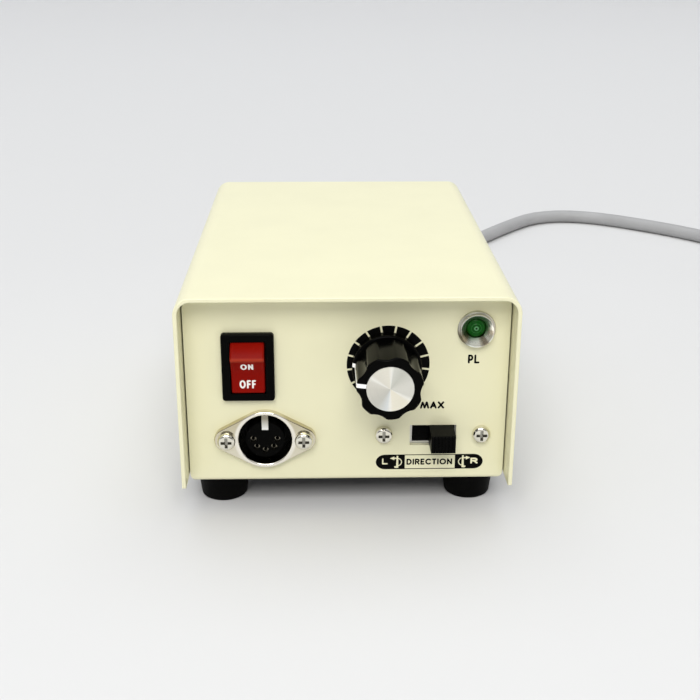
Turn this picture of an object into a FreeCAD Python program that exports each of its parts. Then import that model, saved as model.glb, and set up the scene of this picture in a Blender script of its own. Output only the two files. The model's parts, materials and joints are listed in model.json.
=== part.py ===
import FreeCAD, Part
import math
import os
import Sketcher

# Bench control unit of a dental micromotor. Millimetres, +X right, +Y to the back, +Z up.
# The origin is on the floor, under the middle of the box with its knob and rear fittings.

# Driving sizes. Places on the panel are measured from its middle line and from the base's underside.
SIZES = {
    # case
    "cover_width": 96.0,
    "cover_depth": 146.4,
    "case_height": 59.7,
    "sheet_steel": 1.2,
    "cover_bend": 5.0,
    "cover_lift": 1.8,
    "cover_rim": 0.3,
    "panel_recess": 8.2,
    "rear_recess": 8.2,
    "side_gap": 0.4,
    "top_gap": 0.35,
    "chassis_bend": 1.4,
    "panel_corner": 4.2,
    "panel_low_corner": 2.5,
    "panel_low_corner_depth": 2.4,
    "flange_rise": 13.0,
    "flange_relief": 5.0,
    "cover_screw_rise": 7.5,
    "cover_screw_inset": 30.0,
    "hole_play": 0.1,
    "moving_play": 0.3,
    # feet
    "foot_height": 9.9,
    "foot_top_radius": 8.1,
    "foot_bottom_radius": 6.9,
    "foot_edge": 0.9,
    "foot_counterbore": 4.4,
    "foot_web": 4.5,
    "foot_side_inset": 10.4,
    "foot_inset": 20.8,
    # screws and nuts, by thread
    "small_thread": 1.5,
    "small_head": 2.45,
    "small_head_rise": 1.9,
    "panel_head": 2.65,
    "large_thread": 2.0,
    "large_head": 3.8,
    "large_head_rise": 2.4,
    "recess_width": 0.8,
    "shank_root": 0.1,
    "small_nut_corner": 3.15,
    "small_nut_rise": 2.4,
    "large_nut_corner": 4.04,
    "large_nut_rise": 3.0,
    # speed control
    "dial_across": 35.15,
    "dial_rise": 37.1,
    "knob_gap": 0.7,
    "knob_height": 17.9,
    "knob_radius": 9.25,
    "knob_skirt_radius": 9.95,
    "knob_skirt_rise": 3.3,
    "knob_skirt_edge": 0.6,
    "knob_face_edge": 0.5,
    "knob_flutes": 7,
    "knob_flute_radius": 5.0,
    "knob_flute_depth": 0.85,
    "knob_lobe_edge": 1.4,
    "knob_hollow_radius": 8.4,
    "knob_hollow_depth": 6.0,
    "knob_recess_depth": 3.6,
    "knob_boss_radius": 5.0,
    "knob_bore_depth": 13.0,
    "pointer_angle": 173.0,
    "pointer_width": 1.2,
    "pointer_depth": 0.5,
    "cap_radius": 6.5,
    "cap_thickness": 0.6,
    "cap_proud": 0.1,
    "grub_rise": 7.8,
    "grub_radius": 1.5,
    "shaft_radius": 3.0,
    "shaft_play": 0.06,
    "pot_radius": 12.0,
    "pot_depth": 9.0,
    "pot_wafer": 2.0,
    "pot_wafer_width": 17.0,
    "pot_wafer_drop": 2.5,
    "bushing_radius": 3.5,
    "bushing_reach": 3.2,
    "washer_radius": 6.0,
    "washer_thickness": 0.5,
    "pot_nut_corner": 5.77,
    "pot_nut_rise": 2.0,
    "lug_width": 2.0,
    "lug_thickness": 0.8,
    "lug_length": 7.0,
    "lug_pitch": 5.0,
    # rocker switch
    "rocker_inset": 18.1,
    "rocker_rise": 36.8,
    "rocker_bezel_width": 15.0,
    "rocker_bezel_height": 20.4,
    "rocker_bezel_proud": 2.0,
    "rocker_bezel_corner": 0.9,
    "rocker_body_width": 12.9,
    "rocker_body_height": 19.0,
    "rocker_body_depth": 16.0,
    "rocker_well_width": 10.2,
    "paddle_reach": 8.56,
    "paddle_pivot": 2.0,
    "paddle_middle": 4.7,
    "paddle_dish": 12.6,
    "paddle_hub_depth": 5.5,
    "paddle_hub_half": 3.2,
    "paddle_edge": 0.6,
    "paddle_tilt": 18.5,
    "trunnion_radius": 1.2,
    "trunnion_length": 1.1,
    "spade_width": 4.8,
    "spade_thickness": 0.8,
    "spade_length": 8.0,
    "spade_pitch": 7.0,
    # motor socket
    "socket_inset": 22.5,
    "socket_rise": 14.2,
    "socket_screw_pitch": 22.5,
    "socket_flange_thickness": 2.0,
    "socket_ear_radius": 3.6,
    "socket_rim_radius": 8.95,
    "socket_bore_radius": 7.75,
    "socket_bore_edge": 0.5,
    "socket_can_radius": 8.2,
    "socket_can_depth": 9.0,
    "socket_core_radius": 5.6,
    "socket_core_sink": 0.5,
    "socket_base_depth": 3.0,
    "contact_circle": 3.5,
    "contact_count": 5,
    "contact_step": 45.0,
    "contact_hole": 1.0,
    "contact_radius": 0.85,
    "contact_bore": 0.55,
    "contact_sink": 1.0,
    "contact_tail": 4.0,
    "key_width": 1.9,
    "key_thickness": 0.4,
    "key_drop": 5.0,
    "key_slope": 0.6,
    # slide switch
    "slide_inset": 21.3,
    "slide_rise": 14.9,
    "slide_screw_pitch": 28.7,
    "slide_window_width": 12.6,
    "slide_window_height": 5.7,
    "slide_window_shift": 0.35,
    "slide_opening_width": 13.6,
    "slide_opening_height": 6.5,
    "slide_opening_shift": 0.15,
    "slide_opening_drop": 0.45,
    "slide_frame_length": 35.6,
    "slide_frame_height": 8.4,
    "slide_frame_sheet": 0.8,
    "slide_wall_sheet": 0.5,
    "slide_case_length": 22.8,
    "slide_case_depth": 7.0,
    "slide_body_depth": 2.8,
    "lever_width": 7.1,
    "lever_proud": 8.1,
    "lever_play": 0.15,
    "lever_stop": 0.6,
    "lever_edge": 0.5,
    "lever_carrier": 16.0,
    "lever_ribs": 6,
    "lever_rib_depth": 0.4,
    "slide_pin_width": 1.0,
    "slide_pin_length": 4.0,
    "slide_pin_pitch": 5.0,
    "slide_pin_rows": 3.6,
    # pilot lamp
    "lamp_inset": 9.7,
    "lamp_rise": 47.6,
    "lamp_rim_radius": 4.97,
    "lamp_rim_proud": 2.2,
    "lamp_flange_radius": 5.42,
    "lamp_flange_thickness": 0.7,
    "lamp_lip": 0.35,
    "lamp_bore_radius": 2.95,
    "lamp_throat": -0.4,
    "lamp_barrel_radius": 3.9,
    "lamp_barrel_depth": 8.0,
    "lamp_nut_corner": 5.8,
    "lamp_nut_rise": 2.2,
    "led_radius": 2.85,
    "led_dome": 4.5,
    "led_depth": 9.0,
    "led_tip": -0.1,
    # transformer
    "core_clearance": 0.9,
    "core_height": 47.5,
    "core_stack": 28.0,
    "core_leg": 9.5,
    "core_back": 47.0,
    "winding_reach": 9.0,
    "winding_play": 0.2,
    "bracket_sheet": 1.0,
    "bracket_foot": 9.0,
    "bracket_width": 16.0,
    # circuit board and what stands on it
    "board_width": 78.0,
    "board_depth": 40.0,
    "board_thickness": 1.6,
    "board_back": 24.0,
    "board_hole_inset": 4.0,
    "spacer_rise": 6.0,
    "spacer_radius": 3.0,
    "capacitor_radius": 8.0,
    "capacitor_rise": 25.0,
    "capacitor_inset": 15.0,
    "bridge_width": 15.0,
    "bridge_rise": 10.0,
    "bridge_thickness": 3.6,
    "bridge_spacing": 18.0,
    "sink_gap": 1.5,
    "sink_rise": 20.0,
    "sink_plate": 2.0,
    "sink_fins": 5,
    "sink_fin_depth": 9.0,
    "sink_fin": 1.2,
    "sink_inset": 8.0,
    "sink_back": 12.0,
    "transistor_width": 10.0,
    "transistor_height": 15.5,
    "transistor_tab": 1.3,
    "transistor_body": 9.2,
    "transistor_thickness": 4.5,
    "transistor_leg": 3.0,
    "resistor_radius": 1.6,
    "resistor_length": 9.0,
    "resistor_lead": 0.4,
    "resistor_lift": 2.2,
    "resistor_count": 4,
    "resistor_pitch": 6.0,
    # rear panel fittings
    "fuse_inset": 10.0,
    "fuse_rise": 34.4,
    "fuse_barrel_radius": 6.0,
    "fuse_barrel_depth": 32.0,
    "fuse_flange_radius": 7.6,
    "fuse_flange_proud": 1.8,
    "fuse_cap_radius": 6.2,
    "fuse_cap_proud": 11.0,
    "fuse_cap_edge": 1.0,
    "fuse_slot": 1.2,
    "fuse_bore_radius": 2.8,
    "fuse_radius": 2.6,
    "fuse_length": 20.0,
    "fuse_nut_corner": 8.4,
    "fuse_nut_rise": 3.0,
    "jack_inset": 10.0,
    "jack_rise": 38.4,
    "jack_bore_radius": 3.2,
    "jack_thread_radius": 4.5,
    "jack_body_radius": 6.4,
    "jack_body_depth": 22.0,
    "jack_thread_proud": 3.4,
    "jack_nut_corner": 7.0,
    "jack_nut_rise": 2.2,
    # mains lead
    "cord_inset": 13.4,
    "cord_rise": 14.4,
    "cord_radius": 3.5,
    "relief_flange_radius": 7.8,
    "relief_flange_proud": 2.0,
    "relief_grip_radius": 6.0,
    "relief_grip_depth": 8.0,
    "relief_root_radius": 6.0,
    "relief_tip_radius": 4.3,
    "relief_length": 32.0,
    "relief_grooves": 5,
    "relief_groove_depth": 0.9,
    "coil_pitch": 7.6,
    "coil_radius": 49.0,
    "coil_half_turns": 5,
    "tie_thickness": 0.6,
    "tie_width": 5.0,
    "tie_play": 0.3,
    "tie_bend": 1.8,
    "tail_straight": 16.0,
    "tail_climb": 24.0,
    "tail_end": 20.0,
    "floor_play": 0.05,
    "plug_radius": 18.0,
    "plug_length": 34.0,
    "plug_boot": 24.0,
    "plug_boot_radius": 6.5,
    "plug_edge": 2.5,
    "plug_boot_end": 4.375,
    "plug_shoulder_radius": 13.5,
    "plug_pin_radius": 2.4,
    "plug_pin_length": 19.0,
    "plug_pin_spacing": 19.0,
    "plug_pin_root": 1.9,
    "plug_pin_shoulder": 0.6,
}

doc = FreeCAD.newDocument("control_unit")
sheet = doc.addObject("Spreadsheet::Sheet", "sizes")
for row, (alias, number) in enumerate(SIZES.items(), start=1):
    sheet.set(f"A{row}", alias)
    sheet.set(f"B{row}", str(number))
    sheet.setAlias(f"B{row}", alias)
doc.recompute()


class Size:
    """A number together with the formula that ties it to the sheet."""

    def __init__(self, value, formula):
        self.value = value
        self.formula = formula

    def __add__(self, other):
        other = as_size(other)
        return Size(self.value + other.value, f"({self.formula} + {other.formula})")

    def __sub__(self, other):
        other = as_size(other)
        return Size(self.value - other.value, f"({self.formula} - {other.formula})")

    def __mul__(self, other):
        other = as_size(other)
        return Size(self.value * other.value, f"({self.formula} * {other.formula})")

    def __truediv__(self, other):
        other = as_size(other)
        return Size(self.value / other.value, f"({self.formula} / {other.formula})")

    def __neg__(self):
        return Size(-self.value, f"(0 - {self.formula})")

    def __radd__(self, other):
        return as_size(other) + self

    def __rsub__(self, other):
        return as_size(other) - self

    def __rtruediv__(self, other):
        return as_size(other) / self

    def __rmul__(self, other):
        return as_size(other) * self


def as_size(item):
    if isinstance(item, Size):
        return item
    return Size(float(item), f"({item})")


def cosine(angle):
    return Size(math.cos(math.radians(angle.value)), f"cos({angle.formula} * 1 deg)")


def sine(angle):
    return Size(math.sin(math.radians(angle.value)), f"sin({angle.formula} * 1 deg)")


class Sheet:
    """Reads a driving size by its alias."""

    def __getattr__(self, alias):
        return Size(float(SIZES[alias]), f"sizes.{alias}")


mm = Sheet()

# Planes and heights that several pieces share.
FRONT_REACH = mm.knob_gap + mm.knob_height + mm.cap_proud - mm.panel_recess
REAR_REACH = mm.fuse_cap_proud - mm.rear_recess
COVER_FRONT = (FRONT_REACH - REAR_REACH - mm.cover_depth) / 2
COVER_REAR = COVER_FRONT + mm.cover_depth
PANEL_FACE = COVER_FRONT + mm.panel_recess
PANEL_BACK = PANEL_FACE + mm.sheet_steel
REAR_FACE = COVER_REAR - mm.rear_recess
REAR_INNER = REAR_FACE - mm.sheet_steel
BASE_UNDER = mm.foot_height
BASE_TOP = BASE_UNDER + mm.sheet_steel
COVER_TOP = BASE_UNDER + mm.case_height
COVER_HALF = mm.cover_width / 2
PANEL_HALF = COVER_HALF - mm.sheet_steel - mm.side_gap
PANEL_TOP = COVER_TOP - mm.sheet_steel - mm.top_gap
BOARD_FRONT = PANEL_FACE + mm.board_back
BOARD_TOP = BASE_TOP + mm.spacer_rise + mm.board_thickness

# Places across the panel, each measured in from its nearer edge.
ROCKER_ACROSS = mm.rocker_inset - PANEL_HALF
SOCKET_ACROSS = mm.socket_inset - PANEL_HALF
DIAL_ACROSS = PANEL_HALF - mm.dial_across
SLIDE_ACROSS = PANEL_HALF - mm.slide_inset
LAMP_ACROSS = PANEL_HALF - mm.lamp_inset
FUSE_ACROSS = mm.fuse_inset - PANEL_HALF
JACK_ACROSS = PANEL_HALF - mm.jack_inset
CORD_ACROSS = PANEL_HALF - mm.cord_inset
CAPACITOR_ACROSS = mm.capacitor_inset - mm.board_width / 2
BRIDGE_ACROSS = CAPACITOR_ACROSS + mm.bridge_spacing
SINK_LEFT = BRIDGE_ACROSS + mm.bridge_width / 2 + mm.sink_gap
SINK_RIGHT = mm.board_width / 2 - mm.sink_inset
SINK_ACROSS = (SINK_LEFT + SINK_RIGHT) / 2
CORE_HALF = -FUSE_ACROSS - mm.fuse_barrel_radius - mm.core_clearance - mm.bracket_sheet
CORE_MIDDLE = BOARD_FRONT + mm.board_depth + mm.core_back - mm.core_stack / 2

# Turns that bring a piece's own +Z to a direction of the frame.
TURNS = {
    "+Z": (FreeCAD.Vector(1, 0, 0), 0),
    "-Z": (FreeCAD.Vector(1, 0, 0), 180),
    "+Y": (FreeCAD.Vector(1, 0, 0), -90),
    "-Y": (FreeCAD.Vector(1, 0, 0), 90),
    "+X": (FreeCAD.Vector(0, 1, 0), 90),
    "-X": (FreeCAD.Vector(0, 1, 0), -90),
}
CLOSE = 1e-4
HALF_TURN = 180
GRUB_LOBES = 5
HEAD_ROUND = 0.55
RECESS_REACH = 0.6
RECESS_FLOOR = 0.45
BEZEL_ROUND = 0.5
FLANGE_ROUND = 0.2
HUB_SHARE = 0.7
CUT_MARGIN = 1.1
TAPE_ROUND = 0.45
LEAD_REACH = 1.3
BEND_SHARE = 0.45
nodes = []


def bind(thing, **formulas):
    for prop, item in formulas.items():
        thing.setExpression(prop, as_size(item).formula)


def place(thing, x=0, y=0, z=0, facing="+Z"):
    axis, angle = TURNS[facing]
    thing.Placement = FreeCAD.Placement(FreeCAD.Vector(), FreeCAD.Rotation(axis, angle))
    for letter, item in zip("xyz", (x, y, z)):
        thing.setExpression(f"Placement.Base.{letter}", as_size(item).formula)
    return thing


def on_panel(thing, across, rise):
    """Sets a piece drawn as x across, y up, z out of the panel onto the panel's face."""
    return place(thing, across, PANEL_FACE, BASE_UNDER + rise, "-Y")


def on_rear(thing, across, rise):
    return place(thing, across, REAR_FACE, BASE_UNDER + rise, "+Y")


def as_node(label, thing):
    thing.Label = label
    nodes.append(thing)
    return thing


def box(name, x, y, z):
    """A block between two bounds along each axis."""
    block = doc.addObject("Part::Box", name)
    bind(block, Length=x[1] - x[0], Width=y[1] - y[0], Height=z[1] - z[0])
    return place(block, x[0], y[0], z[0])


def cylinder(name, radius, low, high, x=0, y=0):
    """A cylinder along the piece's own Z between two heights."""
    rod = doc.addObject("Part::Cylinder", name)
    bind(rod, Radius=radius, Height=high - low)
    return place(rod, x, y, low)


def cross_cylinder(name, radius, facing, length, x=0, y=0, z=0):
    rod = doc.addObject("Part::Cylinder", name)
    bind(rod, Radius=radius, Height=length)
    return place(rod, x, y, z, facing)


def cone(name, low_radius, high_radius, low, high):
    taper = doc.addObject("Part::Cone", name)
    bind(taper, Radius1=low_radius, Radius2=high_radius, Height=high - low)
    return place(taper, 0, 0, low)


def hexagon(name, corner, low, high):
    prism = doc.addObject("Part::Prism", name)
    prism.Polygon = 6
    bind(prism, Circumradius=corner, Height=high - low)
    return place(prism, 0, 0, low)


def fuse(name, pieces):
    joined = doc.addObject("Part::MultiFuse", name)
    joined.Shapes = pieces
    return joined


def cut(name, base, tools):
    result = doc.addObject("Part::Cut", name)
    result.Base = base
    result.Tool = tools[0] if len(tools) == 1 else fuse(name + "_tools", tools)
    return result


def common(name, first, second):
    result = doc.addObject("Part::Common", name)
    result.Base = first
    result.Tool = second
    return result


def group(name, pieces):
    together = doc.addObject("Part::Compound", name)
    together.Links = pieces
    return together


def flat_at(edge, **planes):
    """True where an edge lies in each named plane, such as z=3."""
    bounds = edge.BoundBox
    for letter, item in planes.items():
        level = as_size(item).value
        low = getattr(bounds, letter.upper() + "Min")
        high = getattr(bounds, letter.upper() + "Max")
        if abs(low - level) > CLOSE or abs(high - level) > CLOSE:
            return False
    return True


def edge_numbers(shape, wanted):
    return [index for index, edge in enumerate(shape.Edges, start=1) if wanted(edge)]


def rounded(name, base, radius, wanted):
    """A Part fillet on the edges that the test picks."""
    doc.recompute()
    result = doc.addObject("Part::Fillet", name)
    result.Base = base
    result.Edges = [(index, radius.value, radius.value) for index in edge_numbers(base.Shape, wanted)]
    return result


def new_body(name):
    return doc.addObject("PartDesign::Body", name)


def new_sketch(body, name, role, offset=0):
    sketch = body.newObject("Sketcher::SketchObject", name)
    plane = [item for item in body.Origin.OriginFeatures if item.Role == role][0]
    sketch.AttachmentSupport = [(plane, "")]
    sketch.MapMode = "FlatFace"
    bind(sketch, **{"AttachmentOffset.Base.z": offset})
    return sketch


def pin_point(sketch, geometry, point, x, y):
    """Ties a sketch point to two formulas measured from the sketch's origin."""
    for kind, item in (("DistanceX", x), ("DistanceY", y)):
        item = as_size(item)
        index = sketch.addConstraint(Sketcher.Constraint(kind, -1, 1, geometry, point, item.value))
        sketch.setExpression(f"Constraints[{index}]", item.formula)


def add_polygon(sketch, points):
    points = [(as_size(x), as_size(y)) for x, y in points]
    corners = [FreeCAD.Vector(x.value, y.value, 0) for x, y in points]
    first = sketch.GeometryCount
    for start, end in zip(corners, corners[1:] + corners[:1]):
        sketch.addGeometry(Part.LineSegment(start, end), False)
    for index in range(len(points)):
        following = first + (index + 1) % len(points)
        sketch.addConstraint(Sketcher.Constraint("Coincident", first + index, 2, following, 1))
    for index, (x, y) in enumerate(points):
        pin_point(sketch, first + index, 1, x, y)


def add_rectangle(sketch, x, y):
    add_polygon(sketch, [(x[0], y[0]), (x[1], y[0]), (x[1], y[1]), (x[0], y[1])])


def add_circle(sketch, x, y, radius):
    x, y, radius = as_size(x), as_size(y), as_size(radius)
    centre = FreeCAD.Vector(x.value, y.value, 0)
    index = sketch.addGeometry(Part.Circle(centre, FreeCAD.Vector(0, 0, 1), radius.value), False)
    pin_point(sketch, index, 3, x, y)
    number = sketch.addConstraint(Sketcher.Constraint("Radius", index, radius.value))
    sketch.setExpression(f"Constraints[{number}]", radius.formula)


def add_corner(sketch, x, y, radius, side):
    """The waste between a square lower corner and its rounding; side is -1 at the left."""
    x, y = as_size(x), as_size(y)
    foot = (x - radius * side, y)
    rise = (x, y + radius)
    points = [FreeCAD.Vector(a.value, b.value, 0) for a, b in ((x, y), foot, rise)]
    centre = FreeCAD.Vector(foot[0].value, rise[1].value, 0)
    first = sketch.addGeometry(Part.LineSegment(points[0], points[1]), False)
    last = sketch.addGeometry(Part.LineSegment(points[2], points[0]), False)
    start, end = (270, 360) if side > 0 else (180, 270)
    circle = Part.Circle(centre, FreeCAD.Vector(0, 0, 1), radius.value)
    arc = sketch.addGeometry(Part.ArcOfCircle(circle, math.radians(start), math.radians(end)), False)
    low_point, high_point = (1, 2) if side > 0 else (2, 1)
    sketch.addConstraint(Sketcher.Constraint("Coincident", last, 2, first, 1))
    sketch.addConstraint(Sketcher.Constraint("Coincident", first, 2, arc, low_point))
    sketch.addConstraint(Sketcher.Constraint("Coincident", last, 1, arc, high_point))
    pin_point(sketch, first, 1, x, y)
    pin_point(sketch, first, 2, *foot)
    pin_point(sketch, last, 1, *rise)
    number = sketch.addConstraint(Sketcher.Constraint("Radius", arc, radius.value))
    sketch.setExpression(f"Constraints[{number}]", radius.formula)


def pad(body, sketch, length, midplane=False, reverse=False):
    feature = body.newObject("PartDesign::Pad", sketch.Name + "_pad")
    feature.Profile = sketch
    feature.Midplane = midplane
    feature.Reversed = reverse
    bind(feature, Length=length)
    doc.recompute()
    return feature


def pocket(body, sketch, depth=None, reverse=False):
    """A pocket of a depth, or through the whole piece both ways where no depth is given."""
    before = body.Shape.Volume
    feature = body.newObject("PartDesign::Pocket", sketch.Name + "_pocket")
    feature.Profile = sketch
    feature.Reversed = reverse
    if depth is None:
        feature.Type = "ThroughAll"
        feature.Midplane = True
    else:
        bind(feature, Length=depth)
    doc.recompute()
    if body.Shape.Volume > before - CLOSE:
        raise RuntimeError(f"{feature.Name} cuts nothing")
    return feature


def revolve(body, sketch):
    feature = body.newObject("PartDesign::Revolution", sketch.Name + "_revolution")
    feature.Profile = sketch
    feature.ReferenceAxis = (sketch, ["V_Axis"])
    feature.Angle = 360
    doc.recompute()
    return feature


def body_fillet(body, name, radius, wanted):
    doc.recompute()
    base = body.Tip
    feature = body.newObject("PartDesign::Fillet", name)
    names = [f"Edge{index}" for index in edge_numbers(base.Shape, wanted)]
    feature.Base = (base, names)
    bind(feature, Radius=radius)
    doc.recompute()
    if feature.Shape.isNull():
        raise RuntimeError(f"{name} has no shape")
    return feature


def pan_screw(name, head, head_rise, thread, length):
    """A pan head screw with a cross recess: its seat is at z=0, its head points along +Z."""
    top = rounded(name + "_head", cylinder(name + "_blank", head, 0, head_rise), head_rise * HEAD_ROUND,
                  lambda edge: flat_at(edge, z=head_rise))
    whole = fuse(name + "_whole", [top, cylinder(name + "_shank", thread, -length, mm.shank_root)])
    long = head * RECESS_REACH
    narrow = mm.recess_width / 2
    deep = (head_rise * RECESS_FLOOR, head_rise * 2)
    slots = [box(name + "_slot_a", (-long, long), (-narrow, narrow), deep),
             box(name + "_slot_b", (-narrow, narrow), (-long, long), deep)]
    return cut(name, whole, slots)


def small_screw(name, length):
    return pan_screw(name, mm.small_head, mm.small_head_rise, mm.small_thread, length)


def panel_screw(name, length):
    return pan_screw(name, mm.panel_head, mm.small_head_rise, mm.small_thread, length)


def large_screw(name, length):
    return pan_screw(name, mm.large_head, mm.large_head_rise, mm.large_thread, length)


def hex_nut(name, corner, rise, bore):
    hole = cylinder(name + "_hole", bore, -rise, rise * 2)
    return cut(name, hexagon(name + "_blank", corner, as_size(0), rise), [hole])


def make_top_cover():
    """The bent steel cover: an inverted U whose sides hide the chassis."""
    body = new_body("top_cover")
    outline = new_sketch(body, "cover_outline", "XY_Plane")
    inner = COVER_HALF - mm.sheet_steel
    low = BASE_UNDER + mm.cover_lift
    under = COVER_TOP - mm.sheet_steel
    add_polygon(outline, [(-COVER_HALF, low), (-inner, low), (-inner, under), (inner, under),
                          (inner, low), (COVER_HALF, low), (COVER_HALF, COVER_TOP), (-COVER_HALF, COVER_TOP)])
    pad(body, outline, mm.cover_depth)
    body_fillet(body, "cover_outer_bends", mm.cover_bend,
                lambda edge: flat_at(edge, y=COVER_TOP) and flat_at(edge, x=COVER_HALF)
                or flat_at(edge, y=COVER_TOP) and flat_at(edge, x=-COVER_HALF))
    body_fillet(body, "cover_inner_bends", mm.cover_bend - mm.sheet_steel,
                lambda edge: flat_at(edge, y=under) and flat_at(edge, x=inner)
                or flat_at(edge, y=under) and flat_at(edge, x=-inner))
    body_fillet(body, "cover_rims", mm.cover_rim,
                lambda edge: flat_at(edge, z=0) or flat_at(edge, z=mm.cover_depth))
    holes = new_sketch(body, "cover_screw_holes", "YZ_Plane")
    for along in (mm.cover_screw_inset, mm.cover_depth - mm.cover_screw_inset):
        add_circle(holes, BASE_UNDER + mm.cover_screw_rise, along, mm.small_thread + mm.hole_play)
    pocket(body, holes)
    place(body, 0, COVER_REAR, 0, "-Y")
    as_node("top_cover", body)


def cut_front_openings(body):
    play = mm.hole_play
    sketch = new_sketch(body, "front_openings", "XZ_Plane", -PANEL_FACE)
    rise = BASE_UNDER + mm.rocker_rise
    half_width = mm.rocker_body_width / 2 + play
    half_height = mm.rocker_body_height / 2 + play
    add_rectangle(sketch, (ROCKER_ACROSS - half_width, ROCKER_ACROSS + half_width),
                  (rise - half_height, rise + half_height))
    rise = BASE_UNDER + mm.socket_rise
    add_circle(sketch, SOCKET_ACROSS, rise, mm.socket_can_radius + play)
    for side in (-1, 1):
        add_circle(sketch, SOCKET_ACROSS + mm.socket_screw_pitch / 2 * side, rise, mm.small_thread + play)
    add_circle(sketch, DIAL_ACROSS, BASE_UNDER + mm.dial_rise, mm.bushing_radius + play)
    add_circle(sketch, LAMP_ACROSS, BASE_UNDER + mm.lamp_rise, mm.lamp_barrel_radius + play)
    rise = BASE_UNDER + mm.slide_rise
    middle = SLIDE_ACROSS + mm.slide_opening_shift
    half_width = mm.slide_opening_width / 2
    half_height = mm.slide_opening_height / 2
    centre = rise - mm.slide_opening_drop
    add_rectangle(sketch, (middle - half_width, middle + half_width),
                  (centre - half_height, centre + half_height))
    for side in (-1, 1):
        add_circle(sketch, SLIDE_ACROSS + mm.slide_screw_pitch / 2 * side, rise, mm.small_thread + play)
    pocket(body, sketch, mm.sheet_steel * 2)


def cut_rear_openings(body):
    play = mm.hole_play
    sketch = new_sketch(body, "rear_openings", "XZ_Plane", -REAR_INNER + mm.sheet_steel)
    add_circle(sketch, FUSE_ACROSS, BASE_UNDER + mm.fuse_rise, mm.fuse_barrel_radius + play)
    add_circle(sketch, JACK_ACROSS, BASE_UNDER + mm.jack_rise, mm.jack_thread_radius + play)
    add_circle(sketch, CORD_ACROSS, BASE_UNDER + mm.cord_rise, mm.relief_grip_radius + play)
    pocket(body, sketch, mm.sheet_steel * 3)


def foot_places():
    for side in (-1, 1):
        for name, along in (("front", COVER_FRONT + mm.foot_inset), ("rear", COVER_REAR - mm.foot_inset)):
            yield f"{name}_{'left' if side < 0 else 'right'}", (COVER_HALF - mm.foot_side_inset) * side, along


def board_places():
    inset = mm.board_hole_inset
    for side in (-1, 1):
        for name, along in (("front", BOARD_FRONT + inset), ("rear", BOARD_FRONT + mm.board_depth - inset)):
            yield f"{name}_{'left' if side < 0 else 'right'}", (mm.board_width / 2 - inset) * side, along


def bracket_places():
    reach = CORE_HALF + mm.bracket_sheet + mm.bracket_foot / 2
    for name, side in (("left", -1), ("right", 1)):
        yield name, reach * side, CORE_MIDDLE


def cut_base_holes(body):
    play = mm.hole_play
    sketch = new_sketch(body, "base_holes", "XY_Plane", BASE_TOP + mm.hole_play)
    for _, across, along in foot_places():
        add_circle(sketch, across, along, mm.large_thread + play)
    for _, across, along in bracket_places():
        add_circle(sketch, across, along, mm.large_thread + play)
    for _, across, along in board_places():
        add_circle(sketch, across, along, mm.small_thread + play)
    pocket(body, sketch, mm.sheet_steel + play * 2)


def make_chassis():
    """One bent sheet: control panel, base and rear panel, with a flange along each side of the base."""
    body = new_body("chassis")
    profile = new_sketch(body, "chassis_profile", "YZ_Plane")
    add_polygon(profile, [(PANEL_FACE, BASE_UNDER), (REAR_FACE, BASE_UNDER), (REAR_FACE, PANEL_TOP),
                          (REAR_INNER, PANEL_TOP), (REAR_INNER, BASE_TOP), (PANEL_BACK, BASE_TOP),
                          (PANEL_BACK, PANEL_TOP), (PANEL_FACE, PANEL_TOP)])
    pad(body, profile, PANEL_HALF * 2, midplane=True)
    body_fillet(body, "chassis_outer_bends", mm.chassis_bend,
                lambda edge: flat_at(edge, z=BASE_UNDER) and (flat_at(edge, y=PANEL_FACE)
                                                             or flat_at(edge, y=REAR_FACE)))
    body_fillet(body, "chassis_inner_bends", mm.chassis_bend - mm.sheet_steel,
                lambda edge: flat_at(edge, z=BASE_TOP) and (flat_at(edge, y=PANEL_BACK)
                                                           or flat_at(edge, y=REAR_INNER)))
    body_fillet(body, "panel_top_corners", mm.panel_corner,
                lambda edge: flat_at(edge, z=PANEL_TOP) and (flat_at(edge, x=PANEL_HALF)
                                                            or flat_at(edge, x=-PANEL_HALF)))
    corners = new_sketch(body, "panel_low_corners", "XZ_Plane", -PANEL_FACE)
    for side in (-1, 1):
        add_corner(corners, PANEL_HALF * side, BASE_UNDER, mm.panel_low_corner, side)
    pocket(body, corners, mm.panel_low_corner_depth)
    flanges = new_sketch(body, "side_flanges", "XY_Plane", BASE_UNDER)
    along = (PANEL_BACK + mm.flange_relief, REAR_INNER - mm.flange_relief)
    add_rectangle(flanges, (-PANEL_HALF, -PANEL_HALF + mm.sheet_steel), along)
    add_rectangle(flanges, (PANEL_HALF - mm.sheet_steel, PANEL_HALF), along)
    pad(body, flanges, mm.flange_rise)
    holes = new_sketch(body, "flange_screw_holes", "YZ_Plane")
    for along in (COVER_FRONT + mm.cover_screw_inset, COVER_REAR - mm.cover_screw_inset):
        add_circle(holes, along, BASE_UNDER + mm.cover_screw_rise, mm.small_thread + mm.hole_play)
    pocket(body, holes)
    cut_front_openings(body)
    cut_rear_openings(body)
    cut_base_holes(body)
    as_node("chassis", body)


def make_cover_screws():
    screws = []
    length = mm.sheet_steel * 2 + mm.side_gap + mm.small_thread
    for side, facing in ((-1, "-X"), (1, "+X")):
        for name, along in (("front", COVER_FRONT + mm.cover_screw_inset),
                            ("rear", COVER_REAR - mm.cover_screw_inset)):
            screw = small_screw(f"cover_screw_{name}_{'left' if side < 0 else 'right'}", length)
            place(screw, COVER_HALF * side, along, BASE_UNDER + mm.cover_screw_rise, facing)
            screws.append(screw)
    as_node("cover_screws", group("cover_screw_group", screws))


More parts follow.
